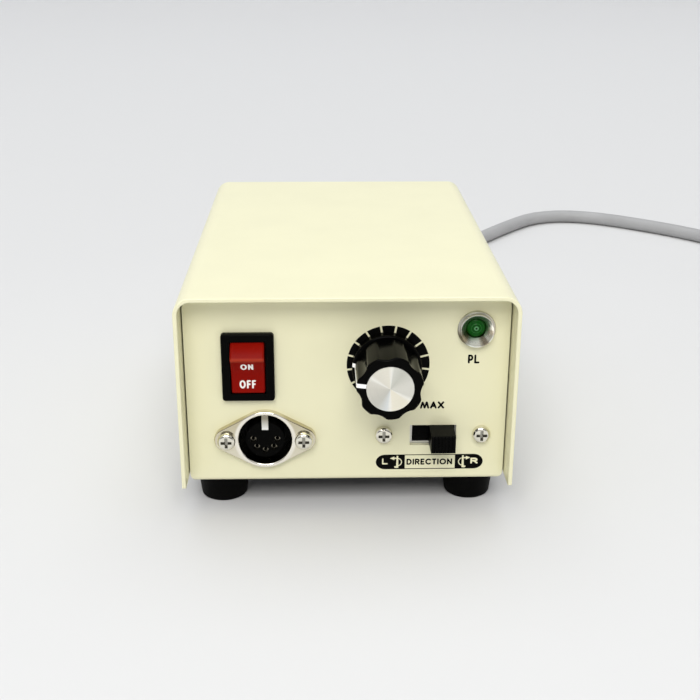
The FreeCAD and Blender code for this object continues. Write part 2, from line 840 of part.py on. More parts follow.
def make_foot(name, across, along):
    """A tapered rubber foot, hollow below for its screw head."""
    body = new_body(name)
    profile = new_sketch(body, name + "_profile", "XZ_Plane")
    web = mm.foot_height - mm.foot_web
    hole = mm.large_thread + mm.hole_play
    add_polygon(profile, [(mm.foot_counterbore, 0), (mm.foot_bottom_radius, 0),
                          (mm.foot_top_radius, mm.foot_height), (hole, mm.foot_height),
                          (hole, web), (mm.foot_counterbore, web)])
    revolve(body, profile)
    hollow = mm.foot_counterbore.value * 2 + CLOSE
    body_fillet(body, name + "_edge", mm.foot_edge,
                lambda edge: flat_at(edge, z=0) and edge.BoundBox.XLength > hollow)
    place(body, across, along, 0)
    as_node(name, body)


def make_feet():
    screws = []
    for where, across, along in foot_places():
        make_foot(f"foot_{where}", across, along)
        length = mm.foot_web + mm.sheet_steel + mm.large_nut_rise + mm.hole_play
        screw = large_screw(f"foot_screw_{where}", length)
        screws.append(place(screw, across, along, mm.foot_height - mm.foot_web, "-Z"))
    as_node("foot_screws", group("foot_screw_group", screws))


def make_base_nuts():
    """The six like nuts inside: four over the feet, two on the transformer's bracket."""
    nuts = []
    places = [(name, across, along, BASE_TOP) for name, across, along in foot_places()]
    places += [("bracket_" + name, across, along, BASE_TOP + mm.bracket_sheet)
               for name, across, along in bracket_places()]
    for name, across, along, height in places:
        nut = hex_nut(f"base_nut_{name}", mm.large_nut_corner, mm.large_nut_rise,
                      mm.large_thread + mm.hole_play)
        nuts.append(place(nut, across, along, height))
    as_node("base_nuts", group("base_nut_group", nuts))


def knob_blank():
    """The moulded knob before its pointer groove: a round skirt and a body with seven lobes."""
    body = new_body("knob_blank")
    skirt = new_sketch(body, "knob_skirt", "XY_Plane")
    add_circle(skirt, 0, 0, mm.knob_skirt_radius)
    pad(body, skirt, mm.knob_skirt_rise)
    body_fillet(body, "knob_skirt_edge", mm.knob_skirt_edge, lambda edge: flat_at(edge, z=mm.knob_skirt_rise))
    grip = new_sketch(body, "knob_grip", "XY_Plane")
    add_circle(grip, 0, 0, mm.knob_radius)
    pad(body, grip, mm.knob_height)
    flute = new_sketch(body, "knob_flute", "XY_Plane", mm.knob_skirt_rise)
    away = mm.knob_radius + mm.knob_flute_radius - mm.knob_flute_depth
    angle = mm.pointer_angle + 180 / mm.knob_flutes
    add_circle(flute, away * cosine(angle), away * sine(angle), mm.knob_flute_radius)
    first = pocket(body, flute, mm.knob_height, reverse=True)
    flutes = body.newObject("PartDesign::PolarPattern", "knob_flutes")
    flutes.Originals = [first]
    flutes.Axis = (flute, ["N_Axis"])
    flutes.Angle = 360
    bind(flutes, Occurrences=mm.knob_flutes)
    body.Tip = flutes
    body_fillet(body, "knob_lobes", mm.knob_lobe_edge, is_lobe_edge)
    body_fillet(body, "knob_face_edge", mm.knob_face_edge, lambda edge: flat_at(edge, z=mm.knob_height))
    seat = new_sketch(body, "knob_cap_seat", "XY_Plane", mm.knob_height)
    add_circle(seat, 0, 0, mm.cap_radius + mm.shaft_play)
    pocket(body, seat, mm.cap_thickness - mm.cap_proud)
    recess = new_sketch(body, "knob_recess", "XY_Plane")
    add_circle(recess, 0, 0, mm.knob_hollow_radius - mm.knob_flute_depth)
    pocket(body, recess, mm.knob_recess_depth, reverse=True)
    hollow = new_sketch(body, "knob_hollow", "XY_Plane")
    add_circle(hollow, 0, 0, mm.knob_hollow_radius - mm.knob_flute_depth)
    add_circle(hollow, 0, 0, mm.knob_boss_radius)
    pocket(body, hollow, mm.knob_hollow_depth, reverse=True)
    bore = new_sketch(body, "knob_bore", "XY_Plane")
    add_circle(bore, 0, 0, mm.shaft_radius + mm.shaft_play)
    pocket(body, bore, mm.knob_bore_depth, reverse=True)
    return body


def is_lobe_edge(edge):
    bounds = edge.BoundBox
    upright = bounds.XLength < CLOSE and bounds.YLength < CLOSE
    return upright and bounds.ZMax > mm.knob_height.value - CLOSE


def pointer_tool():
    """The pointer's groove, along the skirt, up a lobe and across the face."""
    half = mm.pointer_width / 2
    deep = mm.pointer_depth
    skirt = box("pointer_skirt", (mm.knob_radius - deep * 2, mm.knob_skirt_radius + deep), (-half, half),
                (mm.knob_skirt_rise - deep, mm.knob_skirt_rise + deep))
    side = box("pointer_side", (mm.knob_radius - deep, mm.knob_radius + deep), (-half, half),
               (mm.knob_skirt_rise, mm.knob_height))
    face = box("pointer_face", (mm.cap_radius, mm.knob_radius), (-half, half),
               (mm.knob_height - deep, mm.knob_height + deep))
    tool = fuse("pointer_tool", [skirt, side, face])
    axis = FreeCAD.Vector(0, 0, 1)
    tool.Placement = FreeCAD.Placement(FreeCAD.Vector(), FreeCAD.Rotation(axis, mm.pointer_angle.value))
    tool.setExpression("Placement.Rotation.Angle", mm.pointer_angle.formula)
    return tool


def grub_screw_piece(name, radius, start, length):
    """A radial cylinder in the knob's body, between the skirt and the face, opposite the pointer's lobe."""
    rod = cross_cylinder(name, radius, "+X", length, start, 0, mm.grub_rise)
    holder = group(name + "_turned", [rod])
    angle = mm.pointer_angle + HALF_TURN * GRUB_LOBES / mm.knob_flutes
    axis = FreeCAD.Vector(0, 0, 1)
    holder.Placement = FreeCAD.Placement(FreeCAD.Vector(), FreeCAD.Rotation(axis, angle.value))
    holder.setExpression("Placement.Rotation.Angle", angle.formula)
    return holder


def make_knob():
    blank = knob_blank()
    tool = pointer_tool()
    bore_wall = mm.shaft_radius + mm.shaft_play
    hole = grub_screw_piece("grub_hole", mm.grub_radius + mm.hole_play, mm.shaft_radius, mm.knob_radius)
    knob = on_panel(cut("knob", blank, [tool, hole]), DIAL_ACROSS, mm.dial_rise)
    pointer = on_panel(common("pointer", blank, tool), DIAL_ACROSS, mm.dial_rise)
    rod = grub_screw_piece("grub_rod", mm.grub_radius, bore_wall, mm.small_thread * 2)
    grub = on_panel(group("grub", [rod]), DIAL_ACROSS, mm.dial_rise)
    cap = cylinder("knob_disc", mm.cap_radius, mm.knob_height - mm.cap_thickness + mm.cap_proud,
                   mm.knob_height + mm.cap_proud)
    cap = on_panel(group("knob_disc_holder", [cap]), DIAL_ACROSS, mm.dial_rise)
    for piece in (knob, pointer, grub, cap):
        bind(piece, **{"Placement.Base.y": PANEL_FACE - mm.knob_gap})
    as_node("speed_knob", knob)
    as_node("knob_pointer", pointer)
    as_node("knob_set_screw", grub)
    as_node("knob_cap", cap)


def make_potentiometer():
    back = -mm.sheet_steel - mm.pot_depth
    can = cylinder("pot_can", mm.pot_radius, back, -mm.sheet_steel)
    bushing = cylinder("pot_bushing", mm.bushing_radius, -mm.sheet_steel * 2, mm.bushing_reach)
    low = -mm.pot_radius - mm.pot_wafer_drop
    wafer = box("pot_wafer", (-mm.pot_wafer_width / 2, mm.pot_wafer_width / 2), (low, as_size(0)),
                (back, back + mm.pot_wafer))
    bore = cylinder("pot_bore", mm.shaft_radius + mm.shaft_play, back + mm.pot_wafer, mm.bushing_reach * 2)
    body = cut("potentiometer", fuse("pot_whole", [can, bushing, wafer]), [bore])
    as_node("pot_body", on_panel(body, DIAL_ACROSS, mm.dial_rise))
    shaft = cylinder("pot_rod", mm.shaft_radius, back + mm.pot_wafer + mm.shaft_play,
                     mm.knob_gap + mm.knob_bore_depth - mm.moving_play)
    as_node("pot_shaft", on_panel(group("pot_rod_holder", [shaft]), DIAL_ACROSS, mm.dial_rise))
    disc = cylinder("pot_washer_disc", mm.washer_radius, as_size(0), mm.washer_thickness)
    through = cylinder("pot_washer_hole", mm.bushing_radius + mm.shaft_play, -mm.washer_thickness,
                       mm.washer_thickness * 2)
    washer = cut("pot_washer_ring", disc, [through])
    as_node("pot_washer", on_panel(washer, DIAL_ACROSS, mm.dial_rise))
    nut = hex_nut("pot_hex", mm.pot_nut_corner, mm.pot_nut_rise, mm.bushing_radius + mm.shaft_play)
    on_panel(nut, DIAL_ACROSS, mm.dial_rise)
    bind(nut, **{"Placement.Base.y": PANEL_FACE - mm.washer_thickness})
    as_node("pot_nut", nut)
    lugs = []
    for index in (-1, 0, 1):
        middle = mm.lug_pitch * index
        lugs.append(box(f"pot_lug_{index + 2}", (middle - mm.lug_width / 2, middle + mm.lug_width / 2),
                        (low - mm.lug_length, low), (back, back + mm.lug_thickness)))
    as_node("pot_terminals", on_panel(group("pot_lugs", lugs), DIAL_ACROSS, mm.dial_rise))


def make_rocker():
    half_width = mm.rocker_bezel_width / 2
    half_height = mm.rocker_bezel_height / 2
    bezel = box("rocker_bezel", (-half_width, half_width), (-half_height, half_height),
                (as_size(0), mm.rocker_bezel_proud))
    bezel = rounded("rocker_bezel_corners", bezel, mm.rocker_bezel_corner,
                    lambda edge: edge.BoundBox.ZLength > mm.rocker_bezel_proud.value - CLOSE)
    bezel = rounded("rocker_bezel_rim", bezel, mm.rocker_bezel_corner * BEZEL_ROUND,
                    lambda edge: flat_at(edge, z=mm.rocker_bezel_proud))
    body_half = mm.rocker_body_width / 2
    tall = mm.rocker_body_height / 2
    body = box("rocker_body", (-body_half, body_half), (-tall, tall),
               (-mm.rocker_body_depth, mm.rocker_bezel_proud / 2))
    well_half = mm.rocker_well_width / 2
    well = cross_cylinder("rocker_well", mm.paddle_reach + mm.moving_play, "+X", well_half * 2,
                          -well_half, 0, -mm.paddle_pivot)
    bearing_half = well_half - mm.moving_play + mm.trunnion_length + mm.hole_play
    bearing = cross_cylinder("rocker_bearing", mm.trunnion_radius + mm.shaft_play, "+X",
                             bearing_half * 2, -bearing_half, 0, -mm.paddle_pivot)
    housing = cut("rocker_case", fuse("rocker_solid", [bezel, body]), [well, bearing])
    as_node("rocker_housing", on_panel(housing, ROCKER_ACROSS, mm.rocker_rise))
    spades = []
    for side in (-1, 1):
        for index, height in enumerate((-mm.spade_pitch, as_size(0))):
            middle = height + mm.spade_pitch / 2
            across = body_half / 2 * side
            spades.append(box(f"rocker_spade_{side + 2}_{index + 1}",
                              (across - mm.spade_thickness / 2, across + mm.spade_thickness / 2),
                              (middle - mm.spade_width / 2, middle + mm.spade_width / 2),
                              (-mm.rocker_body_depth - mm.spade_length, -mm.rocker_body_depth)))
    as_node("rocker_terminals", on_panel(group("rocker_spades", spades), ROCKER_ACROSS, mm.rocker_rise))


def make_paddle():
    """The red paddle, drawn about its trunnions: ends that are arcs, and a hollow face between two crests."""
    half = mm.rocker_well_width / 2 - mm.moving_play
    body = new_body("paddle_prism")
    profile = new_sketch(body, "paddle_profile", "YZ_Plane")
    reach = mm.paddle_reach * CUT_MARGIN
    waist = -mm.paddle_hub_depth * HUB_SHARE
    hub = mm.paddle_hub_half
    add_polygon(profile, [(-reach, reach), (-reach, waist), (-hub, -mm.paddle_hub_depth),
                          (hub, -mm.paddle_hub_depth), (reach, waist), (reach, reach)])
    pad(body, profile, half * 2, midplane=True)
    swing = cross_cylinder("paddle_swing", mm.paddle_reach, "+X", half * 2, -half)
    wide = half * CUT_MARGIN
    dish = cross_cylinder("paddle_hollow", mm.paddle_dish, "+X", wide * 2, -wide, 0,
                          mm.paddle_middle + mm.paddle_dish)
    shape = cut("paddle_dished", common("paddle_arc", body, swing), [dish])
    shape = rounded("paddle_round", shape, mm.paddle_edge, is_paddle_rim)
    stub = half + mm.trunnion_length
    trunnion = cross_cylinder("paddle_trunnion", mm.trunnion_radius, "+X", stub * 2, -stub)
    paddle = fuse("paddle", [shape, trunnion])
    on_panel(paddle, ROCKER_ACROSS, mm.rocker_rise)
    bind(paddle, **{"Placement.Base.y": PANEL_FACE + mm.paddle_pivot})
    paddle.setExpression("Placement.Rotation.Angle", (90 + mm.paddle_tilt).formula)
    as_node("rocker_paddle", paddle)


def is_paddle_rim(edge):
    return edge.BoundBox.ZMax > mm.paddle_middle.value


def make_socket():
    """The round motor socket: a nickel shell with a diamond flange around a black insert."""
    ear = mm.socket_screw_pitch / 2
    thick = mm.socket_flange_thickness
    body = new_body("socket_flange")
    rim = new_sketch(body, "socket_flange_middle", "XY_Plane")
    add_circle(rim, 0, 0, mm.socket_rim_radius)
    pad(body, rim, thick)
    for side, name in ((-1, "left"), (1, "right")):
        ear_round = new_sketch(body, f"socket_ear_{name}", "XY_Plane")
        add_circle(ear_round, ear * side, 0, mm.socket_ear_radius)
        pad(body, ear_round, thick)
        arm = new_sketch(body, f"socket_arm_{name}", "XY_Plane")
        lean = (mm.socket_rim_radius - mm.socket_ear_radius) / ear
        rise = Size(math.sqrt(1 - lean.value ** 2), f"sqrt(1 - {lean.formula} * {lean.formula})")
        add_polygon(arm, [(0, 0), (mm.socket_rim_radius * lean * side, -mm.socket_rim_radius * rise),
                          ((ear + mm.socket_ear_radius * lean) * side, -mm.socket_ear_radius * rise),
                          (ear * side, 0),
                          ((ear + mm.socket_ear_radius * lean) * side, mm.socket_ear_radius * rise),
                          (mm.socket_rim_radius * lean * side, mm.socket_rim_radius * rise)])
        pad(body, arm, thick)
    body_fillet(body, "socket_flange_edge", thick * FLANGE_ROUND, lambda edge: flat_at(edge, z=thick))
    can = cylinder("socket_can", mm.socket_can_radius, -mm.socket_can_depth, thick / 2)
    bore = cylinder("socket_bore", mm.socket_bore_radius, -mm.socket_can_depth * 2, thick * 2)
    hole = mm.small_thread + mm.hole_play
    holes = [cylinder(f"socket_hole_{side + 2}", hole, -thick, thick * 2, ear * side) for side in (-1, 1)]
    shell = cut("socket_bored", fuse("socket_solid", [body, can]), [bore])
    wide = mm.socket_bore_radius.value * 2
    shell = rounded("socket_lip", shell, mm.socket_bore_edge,
                    lambda edge: flat_at(edge, z=thick) and abs(edge.BoundBox.XLength - wide) < CLOSE)
    as_node("socket_shell", on_panel(cut("socket_metal", shell, holes), SOCKET_ACROSS, mm.socket_rise))


def contact_places():
    """The five contacts stand on a half circle that is open towards the key."""
    start = -90 - (mm.contact_count - 1) / 2 * mm.contact_step
    for index in range(int(SIZES["contact_count"])):
        angle = start + mm.contact_step * index
        yield index + 1, mm.contact_circle * cosine(angle), mm.contact_circle * sine(angle)


def make_socket_insert():
    face = mm.socket_flange_thickness - mm.socket_core_sink
    back = -mm.socket_can_depth
    fit = mm.socket_bore_radius - mm.shaft_play
    core = cylinder("insert_core", mm.socket_core_radius, back, face)
    base = cylinder("insert_base", fit, back, back + mm.socket_base_depth)
    half = mm.key_width / 2 + mm.hole_play
    wall = mm.socket_bore_radius
    slot = box("insert_keyway", (-half, half), (wall - mm.key_drop - mm.moving_play, wall * 2),
               (back + mm.socket_base_depth, face * 2))
    holes = [cylinder(f"insert_hole_{index}", mm.contact_hole, back * 2, face * 2, x, y)
             for index, x, y in contact_places()]
    insert = cut("socket_plastic", fuse("insert_solid", [core, base]), [slot] + holes)
    as_node("socket_insert", on_panel(insert, SOCKET_ACROSS, mm.socket_rise))
    tubes = []
    for index, x, y in contact_places():
        top = face - mm.contact_sink
        outer = cylinder(f"contact_tube_{index}", mm.contact_radius, back - mm.contact_tail, top, x, y)
        hollow = cylinder(f"contact_hollow_{index}", mm.contact_bore, back, top * 3, x, y)
        tubes.append(cut(f"contact_{index}", outer, [hollow]))
    as_node("socket_contacts", on_panel(group("contact_group", tubes), SOCKET_ACROSS, mm.socket_rise))


def make_socket_key():
    """The bright earth tongue at the top of the socket, bent in over the insert's keyway."""
    body = new_body("key_strip")
    profile = new_sketch(body, "key_profile", "YZ_Plane")
    wall = mm.socket_bore_radius - mm.hole_play
    front = mm.socket_flange_thickness - mm.key_thickness
    tip = wall - mm.key_drop
    back = -mm.socket_can_depth + mm.socket_base_depth + mm.hole_play
    thick = mm.key_thickness
    low = front - mm.key_slope
    add_polygon(profile, [(wall, back), (wall, front), (wall - thick, front), (tip, low),
                          (tip, low - thick), (wall - thick, front - thick), (wall - thick, back)])
    pad(body, profile, mm.key_width, midplane=True)
    as_node("socket_key", on_panel(group("key_holder", [body]), SOCKET_ACROSS, mm.socket_rise))


def make_socket_fasteners():
    ear = mm.socket_screw_pitch / 2
    screws = []
    nuts = []
    length = mm.socket_flange_thickness + mm.sheet_steel + mm.small_nut_rise + mm.hole_play
    for side in (-1, 1):
        screw = panel_screw(f"socket_screw_{side + 2}", length)
        place(screw, ear * side, 0, mm.socket_flange_thickness)
        screws.append(screw)
        nut = hex_nut(f"socket_nut_{side + 2}", mm.small_nut_corner, mm.small_nut_rise,
                      mm.small_thread + mm.hole_play)
        place(nut, ear * side, 0, -mm.sheet_steel - mm.small_nut_rise)
        nuts.append(nut)
    as_node("socket_screws", on_panel(group("socket_screw_group", screws), SOCKET_ACROSS, mm.socket_rise))
    as_node("socket_nuts", on_panel(group("socket_nut_group", nuts), SOCKET_ACROSS, mm.socket_rise))


def make_slide_switch():
    half = mm.slide_frame_length / 2
    tall = mm.slide_frame_height / 2
    face = -mm.sheet_steel
    under = face - mm.slide_frame_sheet
    back = under - mm.slide_case_depth
    middle = mm.slide_window_shift
    case = (middle - mm.slide_case_length / 2, middle + mm.slide_case_length / 2)
    plate = box("slide_plate", (-half, half), (-tall, tall), (under, face))
    plate = rounded("slide_plate_corners", plate, mm.slide_frame_sheet * 2,
                    lambda edge: edge.BoundBox.ZLength > mm.slide_frame_sheet.value - CLOSE)
    depth = (back, under + mm.slide_frame_sheet / 2)
    upper = box("slide_wall_upper", case, (tall - mm.slide_wall_sheet, tall), depth)
    lower = box("slide_wall_lower", case, (-tall, -tall + mm.slide_wall_sheet), depth)
    wide = mm.slide_window_width / 2
    high = mm.slide_window_height / 2
    window = box("slide_window", (middle - wide, middle + wide), (-high, high), (under * 2, as_size(0)))
    holes = [cylinder(f"slide_tapped_hole_{side + 2}", mm.small_thread + mm.shaft_play, under * 2, as_size(0),
                      mm.slide_screw_pitch / 2 * side) for side in (-1, 1)]
    frame = cut("slide_metal", fuse("slide_solid", [plate, upper, lower]), [window] + holes)
    as_node("slide_frame", on_panel(frame, SLIDE_ACROSS, mm.slide_rise))
    inner = tall - mm.slide_wall_sheet
    block = box("slide_block", case, (-inner, inner), (back, back + mm.slide_body_depth))
    as_node("slide_body", on_panel(group("slide_block_holder", [block]), SLIDE_ACROSS, mm.slide_rise))
    pins = []
    for column in (-1, 0, 1):
        for side in (-1, 1):
            across = middle + mm.slide_pin_pitch * column
            up = mm.slide_pin_rows / 2 * side
            pins.append(box(f"slide_pin_{column + 2}_{side + 2}",
                            (across - mm.slide_pin_width / 2, across + mm.slide_pin_width / 2),
                            (up - mm.lug_thickness / 4, up + mm.lug_thickness / 4),
                            (back - mm.slide_pin_length, back)))
    as_node("slide_terminals", on_panel(group("slide_pins", pins), SLIDE_ACROSS, mm.slide_rise))
    screws = []
    for side in (-1, 1):
        screw = panel_screw(f"slide_screw_{side + 2}",
                            mm.sheet_steel + mm.slide_frame_sheet + mm.small_thread)
        screws.append(place(screw, mm.slide_screw_pitch / 2 * side, 0, 0))
    as_node("slide_screws", on_panel(group("slide_screw_group", screws), SLIDE_ACROSS, mm.slide_rise))


def make_lever():
    """The sliding lever, at rest near the right end of its window."""
    middle = mm.slide_window_shift + mm.slide_window_width / 2 - mm.lever_stop - mm.lever_width / 2
    half = mm.lever_width / 2
    high = mm.slide_window_height / 2 - mm.lever_play
    under = -mm.sheet_steel - mm.slide_frame_sheet
    low = under - mm.slide_case_depth + mm.slide_body_depth + mm.lever_play
    tall = mm.slide_frame_height / 2 - mm.slide_wall_sheet - mm.lever_play
    post = box("lever_post", (-half, half), (-high, high), (under - mm.lever_play * 2, mm.lever_proud))
    post = rounded("lever_post_round", post, mm.lever_edge, lambda edge: flat_at(edge, z=mm.lever_proud))
    carrier = box("lever_carrier", (-mm.lever_carrier / 2, mm.lever_carrier / 2), (-tall, tall),
                  (low, under - mm.lever_play))
    grooves = []
    count = int(SIZES["lever_ribs"])
    pitch = mm.lever_width / (count + 1)
    for index in range(count):
        across = -half + pitch * (index + 1)
        grooves.append(box(f"lever_groove_{index + 1}", (across - pitch / 5, across + pitch / 5),
                           (-high * 2, high * 2), (mm.lever_proud - mm.lever_rib_depth, mm.lever_proud * 2)))
    lever = cut("lever", fuse("lever_solid", [post, carrier]), grooves)
    as_node("slide_lever", on_panel(lever, SLIDE_ACROSS + middle, mm.slide_rise))


def make_lamp():
    body = new_body("lamp_ring")
    profile = new_sketch(body, "lamp_profile", "XZ_Plane")
    bore = mm.lamp_bore_radius
    edge = mm.lamp_lip / 2
    add_polygon(profile, [(bore, -mm.lamp_barrel_depth), (mm.lamp_barrel_radius, -mm.lamp_barrel_depth),
                          (mm.lamp_barrel_radius, 0), (mm.lamp_flange_radius, 0),
                          (mm.lamp_flange_radius, mm.lamp_flange_thickness - edge),
                          (mm.lamp_flange_radius - edge, mm.lamp_flange_thickness),
                          (mm.lamp_rim_radius, mm.lamp_flange_thickness),
                          (mm.lamp_rim_radius, mm.lamp_rim_proud - edge),
                          (mm.lamp_rim_radius - edge, mm.lamp_rim_proud),
                          (mm.lamp_rim_radius - mm.lamp_lip, mm.lamp_rim_proud), (bore, mm.lamp_throat)])
    revolve(body, profile)
    as_node("lamp_bezel", on_panel(body, LAMP_ACROSS, mm.lamp_rise))
    nut = hex_nut("lamp_hex", mm.lamp_nut_corner, mm.lamp_nut_rise, mm.lamp_barrel_radius + mm.hole_play)
    on_panel(nut, LAMP_ACROSS, mm.lamp_rise)
    bind(nut, **{"Placement.Base.y": PANEL_BACK + mm.lamp_nut_rise})
    as_node("lamp_nut", nut)
    centre = mm.led_tip - mm.led_dome
    dome = doc.addObject("Part::Sphere", "led_dome")
    bind(dome, Radius=mm.led_dome)
    place(dome, 0, 0, centre)
    dome = common("led_cap", dome, cylinder("led_cap_blank", mm.led_radius, centre, mm.led_tip))
    stem = cylinder("led_stem", mm.led_radius, -mm.led_depth, centre)
    as_node("lamp_led", on_panel(fuse("led", [dome, stem]), LAMP_ACROSS, mm.lamp_rise))


def make_transformer():
    """A stack of laminations with two windows, its winding, and the strap that holds it down."""
    half = CORE_HALF
    low = BASE_TOP
    high = low + mm.core_height
    leg = mm.core_leg
    stack = (CORE_MIDDLE - mm.core_stack / 2, CORE_MIDDLE + mm.core_stack / 2)
    block = box("core_block", (-half, half), stack, (low, high))
    through = (stack[0] - 1, stack[1] + 1)
    windows = [box("core_window_left", (-half + leg, -leg), through, (low + leg, high - leg)),
               box("core_window_right", (leg, half - leg), through, (low + leg, high - leg))]
    as_node("transformer_core", cut("core", block, windows))
    play = mm.winding_play
    reach = mm.core_stack / 2 + mm.winding_reach
    wound = box("winding_block", (-half + leg + play, half - leg - play),
                (CORE_MIDDLE - reach, CORE_MIDDLE + reach), (low + leg + play, high - leg - play))
    centre = box("winding_hole", (-leg - play, leg + play), (stack[0] - play, stack[1] + play),
                 (low, high))
    wound = rounded("winding_round", wound, mm.winding_reach * TAPE_ROUND,
                    lambda edge: edge.BoundBox.ZLength > mm.core_leg.value and edge.BoundBox.XLength < CLOSE
                    and edge.BoundBox.YLength < CLOSE)
    as_node("transformer_winding", cut("winding", wound, [centre]))
    band = mm.bracket_sheet
    wide = mm.bracket_width / 2
    outer = half + band
    along = (CORE_MIDDLE - wide, CORE_MIDDLE + wide)
    arch = box("bracket_arch", (-outer, outer), along, (low, high + band))
    feet = box("bracket_feet", (-outer - mm.bracket_foot, outer + mm.bracket_foot), along, (low, low + band))
    inside = box("bracket_inside", (-half, half), (along[0] - 1, along[1] + 1), (low - 1, high))
    hole = mm.large_thread + mm.hole_play
    holes = [cylinder(f"bracket_hole_{name}", hole, low - 1, low + band * 2, across, middle)
             for name, across, middle in bracket_places()]
    as_node("transformer_bracket", cut("bracket", fuse("bracket_solid", [arch, feet]), [inside] + holes))
    screws = []
    length = mm.sheet_steel + band + mm.large_nut_rise + mm.hole_play
    for name, across, middle in bracket_places():
        screws.append(place(large_screw(f"bracket_screw_{name}", length), across, middle, BASE_UNDER, "-Z"))
    as_node("transformer_screws", group("bracket_screw_group", screws))


def make_board():
    half = mm.board_width / 2
    low = BASE_TOP + mm.spacer_rise
    plate = box("board_plate", (-half, half), (BOARD_FRONT, BOARD_FRONT + mm.board_depth), (low, BOARD_TOP))
    holes = []
    spacers = []
    screws = []
    for name, across, along in board_places():
        hole = mm.small_thread + mm.hole_play
        holes.append(cylinder(f"board_hole_{name}", hole, low - 1, BOARD_TOP + 1, across, along))
        outer = cylinder(f"spacer_tube_{name}", mm.spacer_radius, BASE_TOP, low, across, along)
        inner = cylinder(f"spacer_bore_{name}", hole, BASE_TOP - 1, low + 1, across, along)
        spacers.append(cut(f"spacer_{name}", outer, [inner]))
        screw = small_screw(f"board_screw_{name}", mm.board_thickness + mm.spacer_rise + mm.sheet_steel)
        screws.append(place(screw, across, along, BOARD_TOP))
    as_node("circuit_board", cut("board", plate, holes))
    as_node("board_spacers", group("spacer_group", spacers))
    as_node("board_screws", group("board_screw_group", screws))


def make_capacitor():
    middle = BOARD_FRONT + mm.board_depth / 2
    can = cylinder("capacitor_can", mm.capacitor_radius, BOARD_TOP, BOARD_TOP + mm.capacitor_rise,
                   CAPACITOR_ACROSS, middle)
    can = rounded("capacitor_top", can, mm.capacitor_radius / 8,
                  lambda edge: flat_at(edge, z=BOARD_TOP + mm.capacitor_rise))
    as_node("filter_capacitor", can)


def make_bridge():
    half = mm.bridge_width / 2
    front = BOARD_FRONT + mm.board_depth - mm.board_hole_inset * 2
    block = box("bridge_block", (BRIDGE_ACROSS - half, BRIDGE_ACROSS + half),
                (front, front + mm.bridge_thickness), (BOARD_TOP, BOARD_TOP + mm.bridge_rise))
    block = rounded("bridge_round", block, mm.bridge_thickness / 6,
                    lambda edge: flat_at(edge, z=BOARD_TOP + mm.bridge_rise))
    as_node("bridge_rectifier", block)


def make_heat_sink():
    left = SINK_LEFT
    front = BOARD_FRONT + mm.board_depth - mm.sink_back - mm.sink_plate
    height = (BOARD_TOP, BOARD_TOP + mm.sink_rise)
    plate = box("sink_plate", (left, SINK_RIGHT), (front, front + mm.sink_plate), height)
    fins = []
    count = int(SIZES["sink_fins"])
    pitch = (SINK_RIGHT - left - mm.sink_fin) / (count - 1)
    for index in range(count):
        side = left + pitch * index
        fins.append(box(f"sink_fin_{index + 1}", (side, side + mm.sink_fin),
                        (front + mm.sink_plate / 2, front + mm.sink_plate + mm.sink_fin_depth), height))
    as_node("heat_sink", fuse("sink", [plate] + fins))
    wide = mm.transistor_width / 2
    low = BOARD_TOP + mm.transistor_leg
    body = box("transistor_body", (SINK_ACROSS - wide, SINK_ACROSS + wide),
               (front - mm.transistor_thickness, front - mm.transistor_tab / 2),
               (low, low + mm.transistor_body))
    tab = box("transistor_tab", (SINK_ACROSS - wide, SINK_ACROSS + wide),
              (front - mm.transistor_tab, front), (low, low + mm.transistor_height))
    hole = cross_cylinder("transistor_hole", mm.small_thread + mm.hole_play, "-Y", mm.transistor_thickness,
                          SINK_ACROSS, front + 1, low + mm.transistor_height - mm.small_thread * 2)
    legs = []
    thin = mm.lug_thickness / 2
    for index in (-1, 0, 1):
        across = SINK_ACROSS + mm.transistor_width / 4 * index
        legs.append(box(f"transistor_leg_{index + 2}", (across - thin, across + thin),
                        (front - mm.transistor_thickness / 2 - mm.lug_thickness / 2,
                         front - mm.transistor_thickness / 2), (BOARD_TOP, low + mm.transistor_leg)))
    as_node("power_transistor", cut("transistor", fuse("transistor_solid", [body, tab] + legs), [hole]))


def make_resistors():
    resistors = []
    half = mm.resistor_length / 2
    lead = mm.resistor_lead
    height = BOARD_TOP + mm.resistor_lift
    start = BOARD_FRONT + mm.board_hole_inset
    middle = SINK_LEFT - mm.resistor_length
    for index in range(int(SIZES["resistor_count"])):
        along = start + mm.resistor_pitch * index
        body = cross_cylinder(f"resistor_body_{index + 1}", mm.resistor_radius, "+X", mm.resistor_length,
                              middle - half, along, height)
        span = half * LEAD_REACH
        wire = box(f"resistor_wire_{index + 1}", (middle - span, middle + span), (along - lead, along + lead),
                   (height - lead, height + lead))
        legs = [box(f"resistor_leg_{index + 1}_{side + 2}",
                    (middle + span * side - lead, middle + span * side + lead), (along - lead, along + lead),
                    (BOARD_TOP, height + lead)) for side in (-1, 1)]
        resistors.append(fuse(f"resistor_{index + 1}", [body, wire] + legs))
    as_node("board_resistors", group("resistor_group", resistors))


